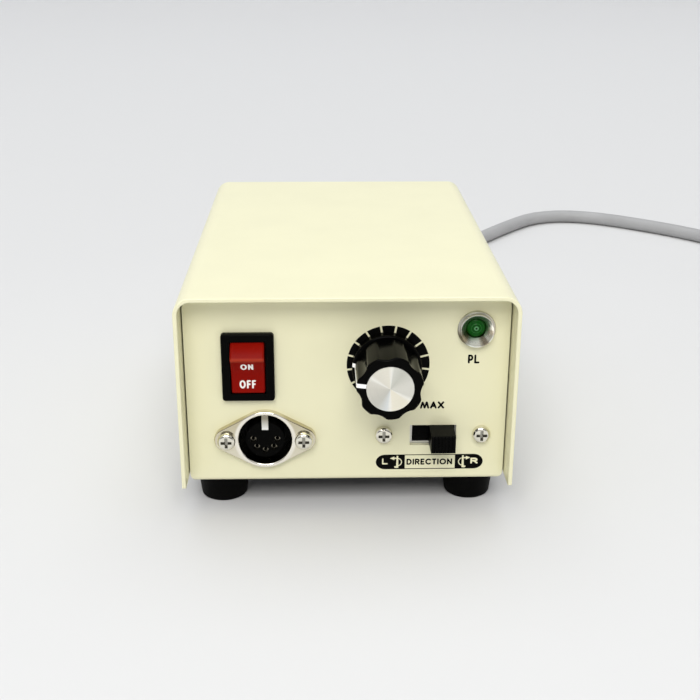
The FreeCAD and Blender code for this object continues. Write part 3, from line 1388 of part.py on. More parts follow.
def make_fuse():
    """The rear fuse holder with the glass fuse in its barrel and the turning cap that closes it."""
    barrel = cylinder("fuse_barrel", mm.fuse_barrel_radius, -mm.fuse_barrel_depth, mm.fuse_flange_proud / 2)
    flange = cylinder("fuse_flange", mm.fuse_flange_radius, as_size(0), mm.fuse_flange_proud)
    flange = rounded("fuse_flange_round", flange, mm.fuse_flange_proud / 4,
                     lambda edge: flat_at(edge, z=mm.fuse_flange_proud))
    floor = -mm.fuse_barrel_depth + mm.fuse_flange_proud
    bore = cylinder("fuse_bore", mm.fuse_bore_radius, floor, mm.fuse_flange_proud * 2)
    holder = cut("fuse_plastic", fuse("fuse_solid", [barrel, flange]), [bore])
    as_node("fuse_holder", on_rear(holder, FUSE_ACROSS, mm.fuse_rise))
    low = floor + mm.shaft_play
    tube = cylinder("fuse_tube", mm.fuse_radius, low, low + mm.fuse_length)
    as_node("glass_fuse", on_rear(group("fuse_tube_holder", [tube]), FUSE_ACROSS, mm.fuse_rise))
    rim = mm.fuse_flange_proud + mm.moving_play / 2
    head = cylinder("fuse_cap_head", mm.fuse_cap_radius, rim, mm.fuse_cap_proud)
    head = rounded("fuse_cap_round", head, mm.fuse_cap_edge, lambda edge: flat_at(edge, z=mm.fuse_cap_proud))
    stem = cylinder("fuse_cap_stem", mm.fuse_bore_radius - mm.moving_play,
                    low + mm.fuse_length + mm.moving_play, rim + mm.fuse_cap_edge)
    slot = box("fuse_cap_slot", (-mm.fuse_cap_radius * 2, mm.fuse_cap_radius * 2),
               (-mm.fuse_slot / 2, mm.fuse_slot / 2),
               (mm.fuse_cap_proud - mm.fuse_slot, mm.fuse_cap_proud * 2))
    cap = cut("fuse_cap_whole", fuse("fuse_cap_solid", [head, stem]), [slot])
    as_node("fuse_cap", on_rear(cap, FUSE_ACROSS, mm.fuse_rise))
    nut = hex_nut("fuse_hex", mm.fuse_nut_corner, mm.fuse_nut_rise, mm.fuse_barrel_radius + mm.hole_play)
    place(nut, FUSE_ACROSS, REAR_INNER - mm.fuse_nut_rise, BASE_UNDER + mm.fuse_rise, "+Y")
    as_node("fuse_nut", nut)


def make_jack():
    """The foot pedal's jack: its plug goes in from behind."""
    inner = -mm.sheet_steel
    body = cylinder("jack_body", mm.jack_body_radius, inner - mm.jack_body_depth, inner)
    thread = cylinder("jack_thread", mm.jack_thread_radius, inner * 2, mm.jack_thread_proud)
    bore = cylinder("jack_bore", mm.jack_bore_radius, inner - mm.jack_body_depth + mm.sheet_steel,
                    mm.jack_thread_proud * 2)
    jack = cut("jack", fuse("jack_solid", [body, thread]), [bore])
    as_node("pedal_jack", on_rear(jack, JACK_ACROSS, mm.jack_rise))
    nut = hex_nut("jack_hex", mm.jack_nut_corner, mm.jack_nut_rise, mm.jack_thread_radius + mm.hole_play)
    as_node("pedal_jack_nut", on_rear(nut, JACK_ACROSS, mm.jack_rise))


def make_strain_relief():
    """The tapered rubber sleeve that the lead leaves by, with rings cut in it so that it bends."""
    grip = cylinder("relief_grip", mm.relief_grip_radius, -mm.sheet_steel - mm.relief_grip_depth,
                    as_size(0))
    flange = cylinder("relief_flange", mm.relief_flange_radius, as_size(0), mm.relief_flange_proud)
    flange = rounded("relief_flange_round", flange, mm.relief_flange_proud / 3,
                     lambda edge: flat_at(edge, z=mm.relief_flange_proud))
    taper = cone("relief_taper", mm.relief_root_radius, mm.relief_tip_radius, as_size(0), mm.relief_length)
    rings = []
    count = int(SIZES["relief_grooves"])
    step = (mm.relief_length - mm.relief_flange_proud) / (count * 2 + 1)
    for index in range(count):
        low = mm.relief_flange_proud + step * (index * 2 + 1)
        shrink = (mm.relief_root_radius - mm.relief_tip_radius) / mm.relief_length
        depth_radius = mm.relief_root_radius - shrink * (low + step) - mm.relief_groove_depth
        ring = cylinder(f"relief_ring_{index + 1}", mm.relief_flange_radius, low, low + step)
        core = cylinder(f"relief_core_{index + 1}", depth_radius, low - step, low + step * 2)
        rings.append(cut(f"relief_groove_{index + 1}", ring, [core]))
    sleeve = fuse("relief_solid", [grip, flange, cut("relief_ribbed", taper, rings)])
    as_node("strain_relief", on_rear(sleeve, CORD_ACROSS, mm.cord_rise))


def biarc(start, start_way, end, end_way):
    """Two tangent arcs from one point and heading to another."""
    across = end - start
    bend = 1 - start_way.dot(end_way)
    along = across.dot(start_way + end_way)
    reach = (-along + math.sqrt(along ** 2 + 2 * bend * across.dot(across))) / (2 * bend)
    middle = (start + end + (start_way - end_way) * reach) * 0.5
    first = Part.Arc(start, arc_crest(start, start_way, middle), middle)
    second = Part.Arc(middle, arc_crest(end, -end_way, middle), end)
    return [first.toShape(), second.toShape()]


def arc_crest(start, way, end):
    """The middle of the arc that leaves a point along a heading and reaches another point."""
    chord = end - start
    inward = way.cross(chord).cross(way)
    inward.normalize()
    radius = chord.dot(chord) / (2 * chord.dot(inward))
    centre = start + inward * radius
    outward = (start + end) * 0.5 - centre
    outward.normalize()
    return centre + outward * radius


def cord_level():
    return mm.cord_radius.value + mm.floor_play.value


def coil_level():
    """The coil lies a little higher than the lead, because the band that ties it passes under it."""
    return cord_level() + mm.tie_thickness.value


def cord_route():
    """The lead's free stretch as points chosen by hand: out of the sleeve, down, and along the floor."""
    leave = (REAR_FACE + mm.relief_length).value
    height = (BASE_UNDER + mm.cord_rise).value
    across = CORD_ACROSS.value
    level = cord_level()
    return [FreeCAD.Vector(*point) for point in (
        (across, leave, height),
        (across, leave + 25, height),
        (36.5, 152, 13.5),
        (47, 182, level),
        (83.7, 239.1, level),
        (132, 295.2, level),
        (204.1, 241.3, level),
        (222.4, 200.2, level),
        (222.4, 175, coil_level()),
    )]


def coil_points():
    """The coil half turn by half turn: in on the floor, up where the spiral reverses, and out on top."""
    inward = int(SIZES["coil_half_turns"])
    half_pitch = mm.coil_pitch.value / 2
    outer = mm.coil_radius.value
    lower = outer - half_pitch
    radii = [lower - half_pitch * index for index in range(inward + 2)]
    radii += [outer - half_pitch * index for index in range(inward, -1, -1)]
    start = cord_route()[-1] - FreeCAD.Vector(0, mm.cord_radius.value * 2, 0)
    centre = start + FreeCAD.Vector(lower, 0, 0)
    points = []
    for index, radius in enumerate(radii):
        side = -1 if index % 2 == 0 else 1
        height = coil_level() if index <= inward else coil_level() + mm.coil_pitch.value
        way = FreeCAD.Vector(0, side, 0)
        points.append((FreeCAD.Vector(centre.x + radius * side, centre.y, height), way))
    return points


def coil_end():
    return coil_points()[-1][0] - FreeCAD.Vector(0, mm.cord_radius.value * 2, 0)


def tail_route():
    """From the coil's upper end forward to the plug, which lies on the floor."""
    end = coil_end()
    axis = (mm.plug_radius + mm.floor_play).value
    rise_start = end.y - mm.tail_straight.value
    rise_end = rise_start - mm.tail_climb.value
    return [end, FreeCAD.Vector(end.x, rise_start, end.z), FreeCAD.Vector(end.x, rise_end, axis),
            FreeCAD.Vector(end.x, rise_end - mm.tail_end.value, axis)]


def run_edges(points):
    """Straight runs joined by tangent arcs, each as large as its two runs allow, and the arcs' radii."""
    edges = []
    radii = []
    reached = points[0]
    for before, corner, after in zip(points, points[1:], points[2:]):
        inward = corner - before
        outward = after - corner
        setback = BEND_SHARE * min(inward.Length, outward.Length)
        half_turn = inward.getAngle(outward) / 2
        radius = setback / math.tan(half_turn)
        inward.normalize()
        outward.normalize()
        arc_start = corner - inward * setback
        arc_end = corner + outward * setback
        inner = outward - inward
        inner.normalize()
        crest = corner + inner * (radius / math.cos(half_turn) - radius)
        edges.append(Part.LineSegment(reached, arc_start).toShape())
        edges.append(Part.Arc(arc_start, crest, arc_end).toShape())
        radii.append(radius)
        reached = arc_end
    edges.append(Part.LineSegment(reached, points[-1]).toShape())
    return edges, radii


def swept_tube(name, edges, start, heading):
    path = Part.Wire(edges)
    section = Part.Wire([Part.Circle(start, heading, mm.cord_radius.value).toShape()])
    shell = Part.BRepOffsetAPI.MakePipeShell(path)
    shell.add(section)
    shell.build()
    shell.makeSolid()
    solid = shell.shape()
    ideal = math.pi * mm.cord_radius.value ** 2 * path.Length
    print(f"{name}: length {path.Length:.1f}, volume over section times length {solid.Volume / ideal:.5f}")
    feature = doc.addObject("Part::Feature", name)
    feature.Shape = solid
    return feature


def make_free_stretch(name, points):
    edges, radii = run_edges(points)
    print(f"{name}: bend radii", [round(radius) for radius in radii])
    as_node(name, swept_tube(name, edges, points[0], points[1] - points[0]))


def least_gap(edges):
    """The smallest clear distance between stretches of the coil that lie over half a turn apart."""
    samples = []
    travelled = 0
    count = 12
    for edge in edges:
        span = edge.LastParameter - edge.FirstParameter
        for index in range(count):
            share = index / count
            spot = edge.valueAt(edge.FirstParameter + span * share)
            samples.append((travelled + edge.Length * share, spot))
        travelled += edge.Length
    half_turn = math.pi * mm.coil_radius.value / 3
    nearest = min((low[1] - high[1]).Length for index, low in enumerate(samples)
                  for high in samples[index + 1:] if high[0] - low[0] > half_turn)
    return nearest - mm.cord_radius.value * 2


def make_coil():
    """The put-away length as one unbroken tube, straight for one diameter at each end."""
    points = coil_points()
    edges = [Part.LineSegment(cord_route()[-1], points[0][0]).toShape()]
    for (start, start_way), (end, end_way) in zip(points, points[1:]):
        edges += biarc(start, start_way, end, end_way)
    edges.append(Part.LineSegment(points[-1][0], coil_end()).toShape())
    print(f"cord_coil: least gap to itself {least_gap(edges):.2f}")
    as_node("cord_coil", swept_tube("cord_coil", edges, cord_route()[-1], points[0][1]))


def make_tie():
    """The plastic band that holds the coil's turns together on its far side."""
    inward = int(SIZES["coil_half_turns"])
    middle, _ = coil_points()[0]
    centre = middle + FreeCAD.Vector(mm.coil_radius.value - mm.coil_pitch.value / 2, 0, 0)
    thick = mm.tie_thickness - mm.floor_play
    outermost = mm.coil_radius - mm.coil_pitch / 2 + mm.cord_radius + mm.tie_play
    innermost = mm.coil_radius - mm.coil_pitch * (inward + 1) / 2 - mm.cord_radius - mm.tie_play
    low = mm.floor_play
    high = mm.floor_play + mm.tie_thickness + mm.cord_radius * 2 + mm.coil_pitch + mm.tie_play
    across = (innermost + centre.x, outermost + centre.x)
    half = mm.tie_width / 2
    outer = box("tie_outer", (across[0] - thick, across[1] + thick), (centre.y - half, centre.y + half),
                (low, high + thick))
    inner = box("tie_inner", across, (centre.y - half * 2, centre.y + half * 2), (low + thick, high))
    outer = rounded("tie_outer_round", outer, mm.tie_bend, lambda edge: is_across(edge, mm.tie_width))
    inner = rounded("tie_inner_round", inner, mm.tie_bend - thick,
                    lambda edge: is_across(edge, mm.tie_width * 2))
    as_node("coil_tie", cut("tie", outer, [inner]))


def is_across(edge, length):
    bounds = edge.BoundBox
    return abs(bounds.YLength - length.value) < CLOSE and bounds.XLength < CLOSE and bounds.ZLength < CLOSE


def make_cord():
    make_free_stretch("mains_cord", cord_route())
    make_coil()
    make_free_stretch("cord_tail", tail_route())
    make_tie()


def make_plug():
    """A moulded round mains plug that lies on the floor in front of the coil, pins to the front."""
    end = tail_route()[-1]
    body = new_body("plug_shell")
    profile = new_sketch(body, "plug_profile", "XZ_Plane")
    waist = mm.plug_boot
    face = waist + mm.plug_length
    add_polygon(profile, [(0, 0), (mm.plug_boot_end, 0), (mm.plug_boot_radius, waist),
                          (mm.plug_shoulder_radius, waist + mm.plug_boot_radius),
                          (mm.plug_radius, waist + mm.plug_boot_radius * 2),
                          (mm.plug_radius, face), (0, face)])
    revolve(body, profile)
    body_fillet(body, "plug_face_edge", mm.plug_edge, lambda edge: flat_at(edge, z=face))
    seats = new_sketch(body, "plug_pin_seats", "XY_Plane", face)
    for side in (-1, 1):
        add_circle(seats, mm.plug_pin_spacing / 2 * side, 0, mm.plug_pin_root + mm.shaft_play)
    pocket(body, seats, mm.plug_pin_length / 2)
    axis_height = mm.plug_radius + mm.floor_play
    place(body, end.x, end.y, axis_height, "-Y")
    as_node("plug_body", body)
    pins = []
    top = face + mm.plug_pin_length
    shoulder = face + mm.plug_pin_shoulder
    low = face - mm.plug_pin_length / 2
    for side in (-1, 1):
        across = mm.plug_pin_spacing / 2 * side
        root = cylinder(f"plug_root_{side + 2}", mm.plug_pin_root, low, shoulder, across)
        shank = cylinder(f"plug_shank_{side + 2}", mm.plug_pin_radius, shoulder, top, across)
        pin = fuse(f"plug_pin_{side + 2}", [root, shank])
        pins.append(rounded(f"plug_pin_round_{side + 2}", pin, mm.plug_pin_radius / 2,
                            lambda edge: flat_at(edge, z=top)))
    as_node("plug_pins", place(group("plug_pin_group", pins), end.x, end.y, axis_height, "-Y"))


def write_parts():
    doc.recompute()
    broken = [item.Name for item in doc.Objects if set(item.State) & {"Invalid", "Error"}]
    for node in nodes:
        if node.Shape.isNull() or not node.Shape.isValid():
            broken.append(node.Label)
    if broken:
        raise RuntimeError(f"These objects failed: {broken}")
    os.makedirs("parts", exist_ok=True)
    for node in nodes:
        node.Shape.exportStep(f"parts/{node.Label}.step")
        bounds = node.Shape.BoundBox
        print(f"{node.Label}: {len(node.Shape.Solids)} solids, {node.Shape.Volume:.1f} mm3, "
              f"x {bounds.XMin:.2f} {bounds.XMax:.2f}, y {bounds.YMin:.2f} {bounds.YMax:.2f}, "
              f"z {bounds.ZMin:.2f} {bounds.ZMax:.2f}")


make_top_cover()
make_chassis()
make_cover_screws()
make_feet()
make_base_nuts()
make_knob()
make_potentiometer()
make_rocker()
make_paddle()
make_socket()
make_socket_insert()
make_socket_key()
make_socket_fasteners()
make_slide_switch()
make_lever()
make_lamp()
make_transformer()
make_board()
make_capacitor()
make_bridge()
make_heat_sink()
make_resistors()
make_fuse()
make_jack()
make_strain_relief()
make_cord()
make_plug()
write_parts()
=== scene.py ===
import bpy
import bmesh
import json
import math
from mathutils import Matrix, Vector

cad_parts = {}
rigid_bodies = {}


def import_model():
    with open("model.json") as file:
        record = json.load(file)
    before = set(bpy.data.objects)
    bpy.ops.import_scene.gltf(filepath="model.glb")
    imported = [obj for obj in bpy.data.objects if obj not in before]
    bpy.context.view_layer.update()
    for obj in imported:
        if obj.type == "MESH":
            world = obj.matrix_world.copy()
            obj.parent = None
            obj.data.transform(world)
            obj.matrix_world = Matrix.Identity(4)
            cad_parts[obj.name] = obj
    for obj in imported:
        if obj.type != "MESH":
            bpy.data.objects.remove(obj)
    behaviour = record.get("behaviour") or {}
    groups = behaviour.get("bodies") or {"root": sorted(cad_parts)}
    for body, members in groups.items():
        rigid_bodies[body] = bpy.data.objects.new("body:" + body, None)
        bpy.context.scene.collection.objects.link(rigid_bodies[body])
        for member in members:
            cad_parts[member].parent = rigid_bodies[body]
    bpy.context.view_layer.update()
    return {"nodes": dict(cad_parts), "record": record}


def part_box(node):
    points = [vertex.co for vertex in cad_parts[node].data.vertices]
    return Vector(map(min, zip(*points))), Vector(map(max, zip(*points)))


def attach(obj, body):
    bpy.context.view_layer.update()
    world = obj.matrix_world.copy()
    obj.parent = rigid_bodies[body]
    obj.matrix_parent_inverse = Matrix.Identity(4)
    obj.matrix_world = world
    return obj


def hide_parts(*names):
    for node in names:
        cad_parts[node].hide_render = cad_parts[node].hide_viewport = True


# The control unit's looks. The scene is in metres. The unit's own sizes are written in millimetres and
# scaled by MM.
MM = 0.001

for leftover in list(bpy.data.objects):
    bpy.data.objects.remove(leftover)
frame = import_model()

# Where the control panel's face is along Y, which runs from the front to the back.
PANEL_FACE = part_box("chassis")[0][1] / MM

# The photograph's camera: where it stands, how it is turned, in degrees, and its lens on a 36 mm sensor.
CAMERA_PLACE = Vector((-7.6, -354.6, 164.25))
CAMERA_YAW = 1.638
CAMERA_PITCH = 21.04
CAMERA_ROLL = -0.184
CAMERA_LENS = 56.78
SENSOR = 36.0

# The mains lead. Its route repeats the points of the CAD route.
CORD_RADIUS = 3.5
CORD_LEVEL = 3.55
COIL_LEVEL = 4.15
CORD_ROUTE = [
    (33.0, 100.85, 24.3),
    (33.0, 125.85, 24.3),
    (36.5, 152.0, 13.5),
    (47.0, 182.0, CORD_LEVEL),
    (83.7, 239.1, CORD_LEVEL),
    (132.0, 295.2, CORD_LEVEL),
    (204.1, 241.3, CORD_LEVEL),
    (222.4, 200.2, CORD_LEVEL),
    (222.4, 175.0, COIL_LEVEL),
]
COIL_PITCH = 7.6
COIL_RADIUS = 49.0
COIL_HALF_TURNS = 5
COIL_STEPS = 8
PLUG_AXIS = 18.05
TAIL_ROUTE = [
    (218.6, 161.0, COIL_LEVEL + COIL_PITCH),
    (218.6, 145.0, COIL_LEVEL + COIL_PITCH),
    (218.6, 121.0, PLUG_AXIS),
    (218.6, 101.0, PLUG_AXIS),
]

# Printing on the panel. Each outline of a print is a step thicker than the one before, up to a number of
# steps and then over again, so that where two cross, their tops lie apart.
PRINT_LIFT = 0.01
PRINT_THICKNESS = 0.03
PRINT_STEP = 0.0006
PRINT_STEPS = 30
DIAL_CENTRE = (11.75, 46.75)
DIAL_INNER = 7.0
DIAL_OUTER = 11.9
DIAL_GAP = 0.58
DIAL_BLOCK_STEPS = 8
DIAL_GAP_ANGLES = [
    230.0, 208.6, 187.0, 165.4, 143.9, 122.5, 101.0, 79.4, 57.7, 35.9, 14.3, -7.2, -28.7, -50.0,
]


def box_of(node):
    """The low and high corners of a CAD node's box, in millimetres."""
    return [Vector(corner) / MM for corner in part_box(node)]


def middle_of(node):
    low, high = box_of(node)
    return (low + high) / 2


def bow(centre, reach, start, end, count=10):
    """Points of an arc of an ellipse, in degrees from the right."""
    points = []
    for index in range(count + 1):
        angle = math.radians(start + (end - start) * index / count)
        points.append((centre[0] + reach[0] * math.cos(angle), centre[1] + reach[1] * math.sin(angle)))
    return points


def linked_object(name, data):
    thing = bpy.data.objects.new(name, data)
    bpy.context.scene.collection.objects.link(thing)
    return thing


def mesh_from(name, shape):
    mesh = bpy.data.meshes.new(name)
    shape.to_mesh(mesh)
    shape.free()
    return mesh


def new_piece(name, data, body, material):
    """A piece of the part, which rides on one of its bodies."""
    thing = linked_object(name, data)
    thing.data.materials.append(material)
    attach(thing, body)
    return thing


# Camera


def add_camera():
    yaw, pitch, roll = (math.radians(angle) for angle in (CAMERA_YAW, CAMERA_PITCH, CAMERA_ROLL))
    forward = Vector((math.sin(yaw) * math.cos(pitch), math.cos(yaw) * math.cos(pitch), -math.sin(pitch)))
    level_right = Vector((math.cos(yaw), -math.sin(yaw), 0))
    level_down = forward.cross(level_right)
    right = level_right * math.cos(roll) + level_down * math.sin(roll)
    up = level_right * math.sin(roll) - level_down * math.cos(roll)
    turn = Matrix((right, up, -forward)).transposed().to_4x4()
    data = bpy.data.cameras.new("photo_camera")
    data.sensor_width = SENSOR
    data.lens = CAMERA_LENS
    data.clip_start = 0.01
    data.clip_end = 50
    camera = linked_object("photo_camera", data)
    camera.matrix_world = Matrix.Translation(CAMERA_PLACE * MM) @ turn
    bpy.context.scene.camera = camera


# Material helpers


def new_material(name):
    material = bpy.data.materials.new(name)
    material.use_nodes = True
    tree = material.node_tree
    shader = tree.nodes["Principled BSDF"]
    return material, tree, shader


def add_node(tree, kind, **inputs):
    node = tree.nodes.new(kind)
    for key, item in inputs.items():
        if hasattr(node, key):
            setattr(node, key, item)
        else:
            node.inputs[key.replace("_", " ")].default_value = item
    return node


def object_place(tree):
    return add_node(tree, "ShaderNodeTexCoord").outputs["Object"]


def noise(tree, scale, detail=3.0, roughness=0.5):
    node = add_node(tree, "ShaderNodeTexNoise", Scale=scale, Detail=detail, Roughness=roughness)
    tree.links.new(object_place(tree), node.inputs["Vector"])
    return node.outputs["Fac"]


def base_of(material):
    """A material's node tree and the socket of its colour."""
    tree = material.node_tree
    return tree, tree.nodes["Principled BSDF"].inputs["Base Color"]


def feed(tree, socket, value):
    """Links a socket to another one, or sets it to a number, a vector or a colour."""
    if isinstance(value, bpy.types.NodeSocket):
        tree.links.new(value, socket)
    else:
        socket.default_value = value


def maths(tree, operation, first, second=0.0):
    node = add_node(tree, "ShaderNodeMath", operation=operation)
    feed(tree, node.inputs[0], first)
    feed(tree, node.inputs[1], second)
    return node.outputs["Value"]


def vector_maths(tree, operation, first, second=(0, 0, 0)):
    node = add_node(tree, "ShaderNodeVectorMath", operation=operation)
    feed(tree, node.inputs[0], first)
    feed(tree, node.inputs[1], second)
    return node.outputs["Value" if operation == "LENGTH" else "Vector"]


def parts_of(tree, vector):
    """A vector's parts, by the names X, Y and Z."""
    node = add_node(tree, "ShaderNodeSeparateXYZ")
    tree.links.new(vector, node.inputs["Vector"])
    return node.outputs


def mixed(tree, factor, first, second, blend="MIX"):
    """Two colours mixed, the second one by the factor."""
    node = add_node(tree, "ShaderNodeMix", data_type="RGBA", blend_type=blend)
    feed(tree, node.inputs["Factor"], factor)
    feed(tree, node.inputs["A"], first)
    feed(tree, node.inputs["B"], second)
    return node.outputs["Result"]


def ranged(tree, value, low, high):
    """Maps a 0 to 1 value to a range."""
    node = add_node(tree, "ShaderNodeMapRange")
    node.inputs["To Min"].default_value = low
    node.inputs["To Max"].default_value = high
    tree.links.new(value, node.inputs["Value"])
    return node.outputs["Result"]


def between(tree, value, low, high, easing="SMOOTHSTEP"):
    """How far a value has come from one number to another, 0 to 1."""
    node = add_node(tree, "ShaderNodeMapRange", interpolation_type=easing)
    node.inputs["From Min"].default_value = low
    node.inputs["From Max"].default_value = high
    tree.links.new(value, node.inputs["Value"])
    return node.outputs["Result"]


def shades(tree, value, dark, light, low=0.3, high=0.7):
    """A colour between two shades, spread over the middle of a value's range."""
    ramp = tree.nodes.new("ShaderNodeValToRGB")
    ramp.color_ramp.elements[0].position = low
    ramp.color_ramp.elements[1].position = high
    ramp.color_ramp.elements[0].color = (*dark, 1)
    ramp.color_ramp.elements[1].color = (*light, 1)
    tree.links.new(value, ramp.inputs["Fac"])
    return ramp.outputs["Color"]


def add_bump(tree, shader, height, strength, distance):
    """Makes a height from 0 to 1 show as relief, of a depth in metres."""
    bump = add_node(tree, "ShaderNodeBump", Strength=strength, Distance=distance)
    tree.links.new(height, bump.inputs["Height"])
    tree.links.new(bump.outputs["Normal"], shader.inputs["Normal"])


def plain_surface(name, dark, light, roughness, grain, bump, gloss=0.5, colour_scale=60.0):
    """A surface whose colour drifts between two shades, with a fine grain in its gloss and height."""
    material, tree, shader = new_material(name)
    shader.inputs["Specular IOR Level"].default_value = gloss
    drift = noise(tree, colour_scale, 2.0)
    tree.links.new(shades(tree, drift, dark, light), shader.inputs["Base Color"])
    fine = noise(tree, grain, 4.0, 0.6)
    tree.links.new(ranged(tree, fine, *roughness), shader.inputs["Roughness"])
    add_bump(tree, shader, fine, *bump)
    return material


def tinted(shade, factor):
    return tuple(min(1.0, channel * factor) for channel in shade)


def paint_material(name, shade):
    """Powder coat: an even ivory with a soft sheen and a faint orange peel."""
    return plain_surface(name, tinted(shade, 0.975), shade, (0.30, 0.42), 1400.0, (0.10, 0.00004))


# The upward part of a normal, below which a face is the tray's underside.
UNDERSIDE_FACING = -0.8


def tray_paint(name, shade, primer):
    """The same coat, with the underside of the tray left in a dark primer."""
    material = paint_material(name, shade)
    tree, base = base_of(material)
    facing = parts_of(tree, add_node(tree, "ShaderNodeTexCoord").outputs["Normal"])
    down = maths(tree, "LESS_THAN", facing["Z"], UNDERSIDE_FACING)
    tree.links.new(mixed(tree, down, base.links[0].from_socket, (*primer, 1)), base)
    return material


def metal_material(name, shade, roughness):
    """Plated metal with fine marks along one direction."""
    material, tree, shader = new_material(name)
    shader.inputs["Metallic"].default_value = 1.0
    mapping = add_node(tree, "ShaderNodeMapping")
    mapping.inputs["Scale"].default_value = (1.0, 1.0, 14.0)
    tree.links.new(object_place(tree), mapping.inputs["Vector"])
    marks = add_node(tree, "ShaderNodeTexNoise", Scale=500.0, Detail=5.0, Roughness=0.6)
    tree.links.new(mapping.outputs["Vector"], marks.inputs["Vector"])
    height = marks.outputs["Fac"]
    tree.links.new(shades(tree, height, tinted(shade, 0.9), shade), shader.inputs["Base Color"])
    tree.links.new(ranged(tree, height, *roughness), shader.inputs["Roughness"])
    add_bump(tree, shader, height, 0.08, 0.00002)
    return material


# Painted reflections about the knob's disc and the lamp's bezel, as shades by the angle from the right.
KNOB_DISC_PAINTED_REFLECTIONS = [
    (-180, (0.70, 0.69, 0.65)),
    (-126, (0.66, 0.66, 0.63)),
    (-99, (0.80, 0.84, 0.88)),
    (-90, (1.0, 1.0, 0.98)),
    (-82, (0.95, 0.92, 0.82)),
    (-40, (0.94, 0.91, 0.81)),
    (-30, (1.0, 1.0, 0.97)),
    (-21, (0.78, 0.78, 0.75)),
    (20, (0.76, 0.76, 0.73)),
    (54, (0.66, 0.67, 0.63)),
    (80, (0.74, 0.75, 0.72)),
    (87, (1.0, 1.0, 0.98)),
    (97, (0.90, 0.88, 0.81)),
    (138, (0.86, 0.84, 0.78)),
    (148, (1.0, 1.0, 0.98)),
    (157, (0.80, 0.79, 0.75)),
    (180, (0.70, 0.69, 0.65)),
]
BEZEL_PAINTED_REFLECTIONS = [
    (-180, (0.62, 0.60, 0.55)),
    (-172, (0.46, 0.42, 0.34)),
    (-160, (0.20, 0.17, 0.11)),
    (-136, (0.24, 0.21, 0.15)),
    (-122, (0.60, 0.62, 0.62)),
    (-114, (0.95, 1.0, 1.0)),
    (-80, (1.0, 1.0, 1.0)),
    (-72, (0.62, 0.58, 0.54)),
    (-62, (0.34, 0.29, 0.24)),
    (-48, (0.38, 0.33, 0.28)),
    (-40, (0.96, 0.96, 0.94)),
    (-20, (1.0, 1.0, 1.0)),
    (-10, (0.76, 0.71, 0.67)),
    (40, (0.70, 0.67, 0.63)),
    (90, (0.62, 0.62, 0.58)),
    (150, (0.62, 0.61, 0.57)),
    (180, (0.62, 0.60, 0.55)),
]


def colour_stops(tree, value, stops):
    """A colour that runs through shades at places from 0 to 1."""
    ramp = tree.nodes.new("ShaderNodeValToRGB")
    elements = ramp.color_ramp.elements
    elements[0].position, elements[1].position = stops[0][0], stops[-1][0]
    elements[0].color, elements[1].color = (*stops[0][1], 1), (*stops[-1][1], 1)
    for position, shade in stops[1:-1]:
        elements.new(position).color = (*shade, 1)
    tree.links.new(value, ramp.inputs["Fac"])
    return ramp.outputs["Color"]


def about_axis(tree, axis, place, across=(1, 0, 1)):
    """A surface point's offset from an axis, and its length. The axis runs the way that across drops."""
    offset = vector_maths(tree, "SUBTRACT", place, axis * MM)
    flat = vector_maths(tree, "MULTIPLY", offset, across)
    return flat, vector_maths(tree, "LENGTH", flat)


# The roughness of nickel plate.
NICKEL_GLOSS = (0.07, 0.16)

# A painted highlight round the socket's hole, standing in for light on its polished lip: how far from the
# hole's edge it fades out, up to where it is full, and its shade.
LIP_REACH = 1.6
LIP_FULL = 0.9
LIP_PAINTED_HIGHLIGHT = (0.93, 0.89, 0.79, 1)


def nickel_with_painted_shade(name, node, foot, head, hole=None):
    """Nickel with shade painted from a piece's foot to its head, and maybe a painted highlight round a
    hole.
    """
    material = metal_material(name, foot, NICKEL_GLOSS)
    tree, base = base_of(material)
    place = object_place(tree)
    low, high = box_of(node)
    level = between(tree, parts_of(tree, place)["Z"], low.z * MM, high.z * MM, "LINEAR")
    # Painted shade, from the foot's colour to the head's.
    shade = shades(tree, level, foot, head, 0.1, 0.8)
    if hole:
        low, high = box_of(hole)
        edge = (high.x - low.x) / 2
        reach = about_axis(tree, middle_of(hole), place)[1]
        # The painted highlight round the hole.
        lip_highlight = between(tree, reach, (edge + LIP_REACH) * MM, (edge + LIP_FULL) * MM)
        shade = mixed(tree, lip_highlight, shade, LIP_PAINTED_HIGHLIGHT)
    tree.links.new(shade, base)
    return material


def spun_material(name, axis, painted_fan, metal, roughness, stretch):
    """Turned metal: rings about an axis, which stretch the highlights into a fan, over a fan of painted
    reflections.
    """
    material, tree, shader = new_material(name)
    shader.inputs["Metallic"].default_value = 1.0
    shader.inputs["Anisotropic"].default_value = stretch
    offset, reach = about_axis(tree, axis, add_node(tree, "ShaderNodeNewGeometry").outputs["Position"])
    around = vector_maths(tree, "CROSS_PRODUCT", offset, (0, 1, 0))
    tree.links.new(vector_maths(tree, "NORMALIZE", around), shader.inputs["Tangent"])
    axes = parts_of(tree, offset)
    disc = add_node(tree, "ShaderNodeCombineXYZ")
    tree.links.new(axes["X"], disc.inputs["X"])
    tree.links.new(axes["Z"], disc.inputs["Y"])
    # Painted reflections, by the angle round the axis.
    turn = add_node(tree, "ShaderNodeTexGradient", gradient_type="RADIAL")
    tree.links.new(disc.outputs["Vector"], turn.inputs["Vector"])
    stops = [((angle + 180) / 360, tint) for angle, tint in painted_fan]
    shade = colour_stops(tree, turn.outputs["Fac"], stops)
    rings = add_node(tree, "ShaderNodeTexNoise", noise_dimensions="1D", Scale=9000.0, Detail=2.0)
    tree.links.new(reach, rings.inputs["W"])
    grain = shades(tree, rings.outputs["Fac"], tinted(metal, 0.93), metal)
    tree.links.new(mixed(tree, 1.0, shade, grain, "MULTIPLY"), shader.inputs["Base Color"])
    tree.links.new(ranged(tree, rings.outputs["Fac"], *roughness), shader.inputs["Roughness"])
    add_bump(tree, shader, rings.outputs["Fac"], 0.06, 0.00001)
    return material


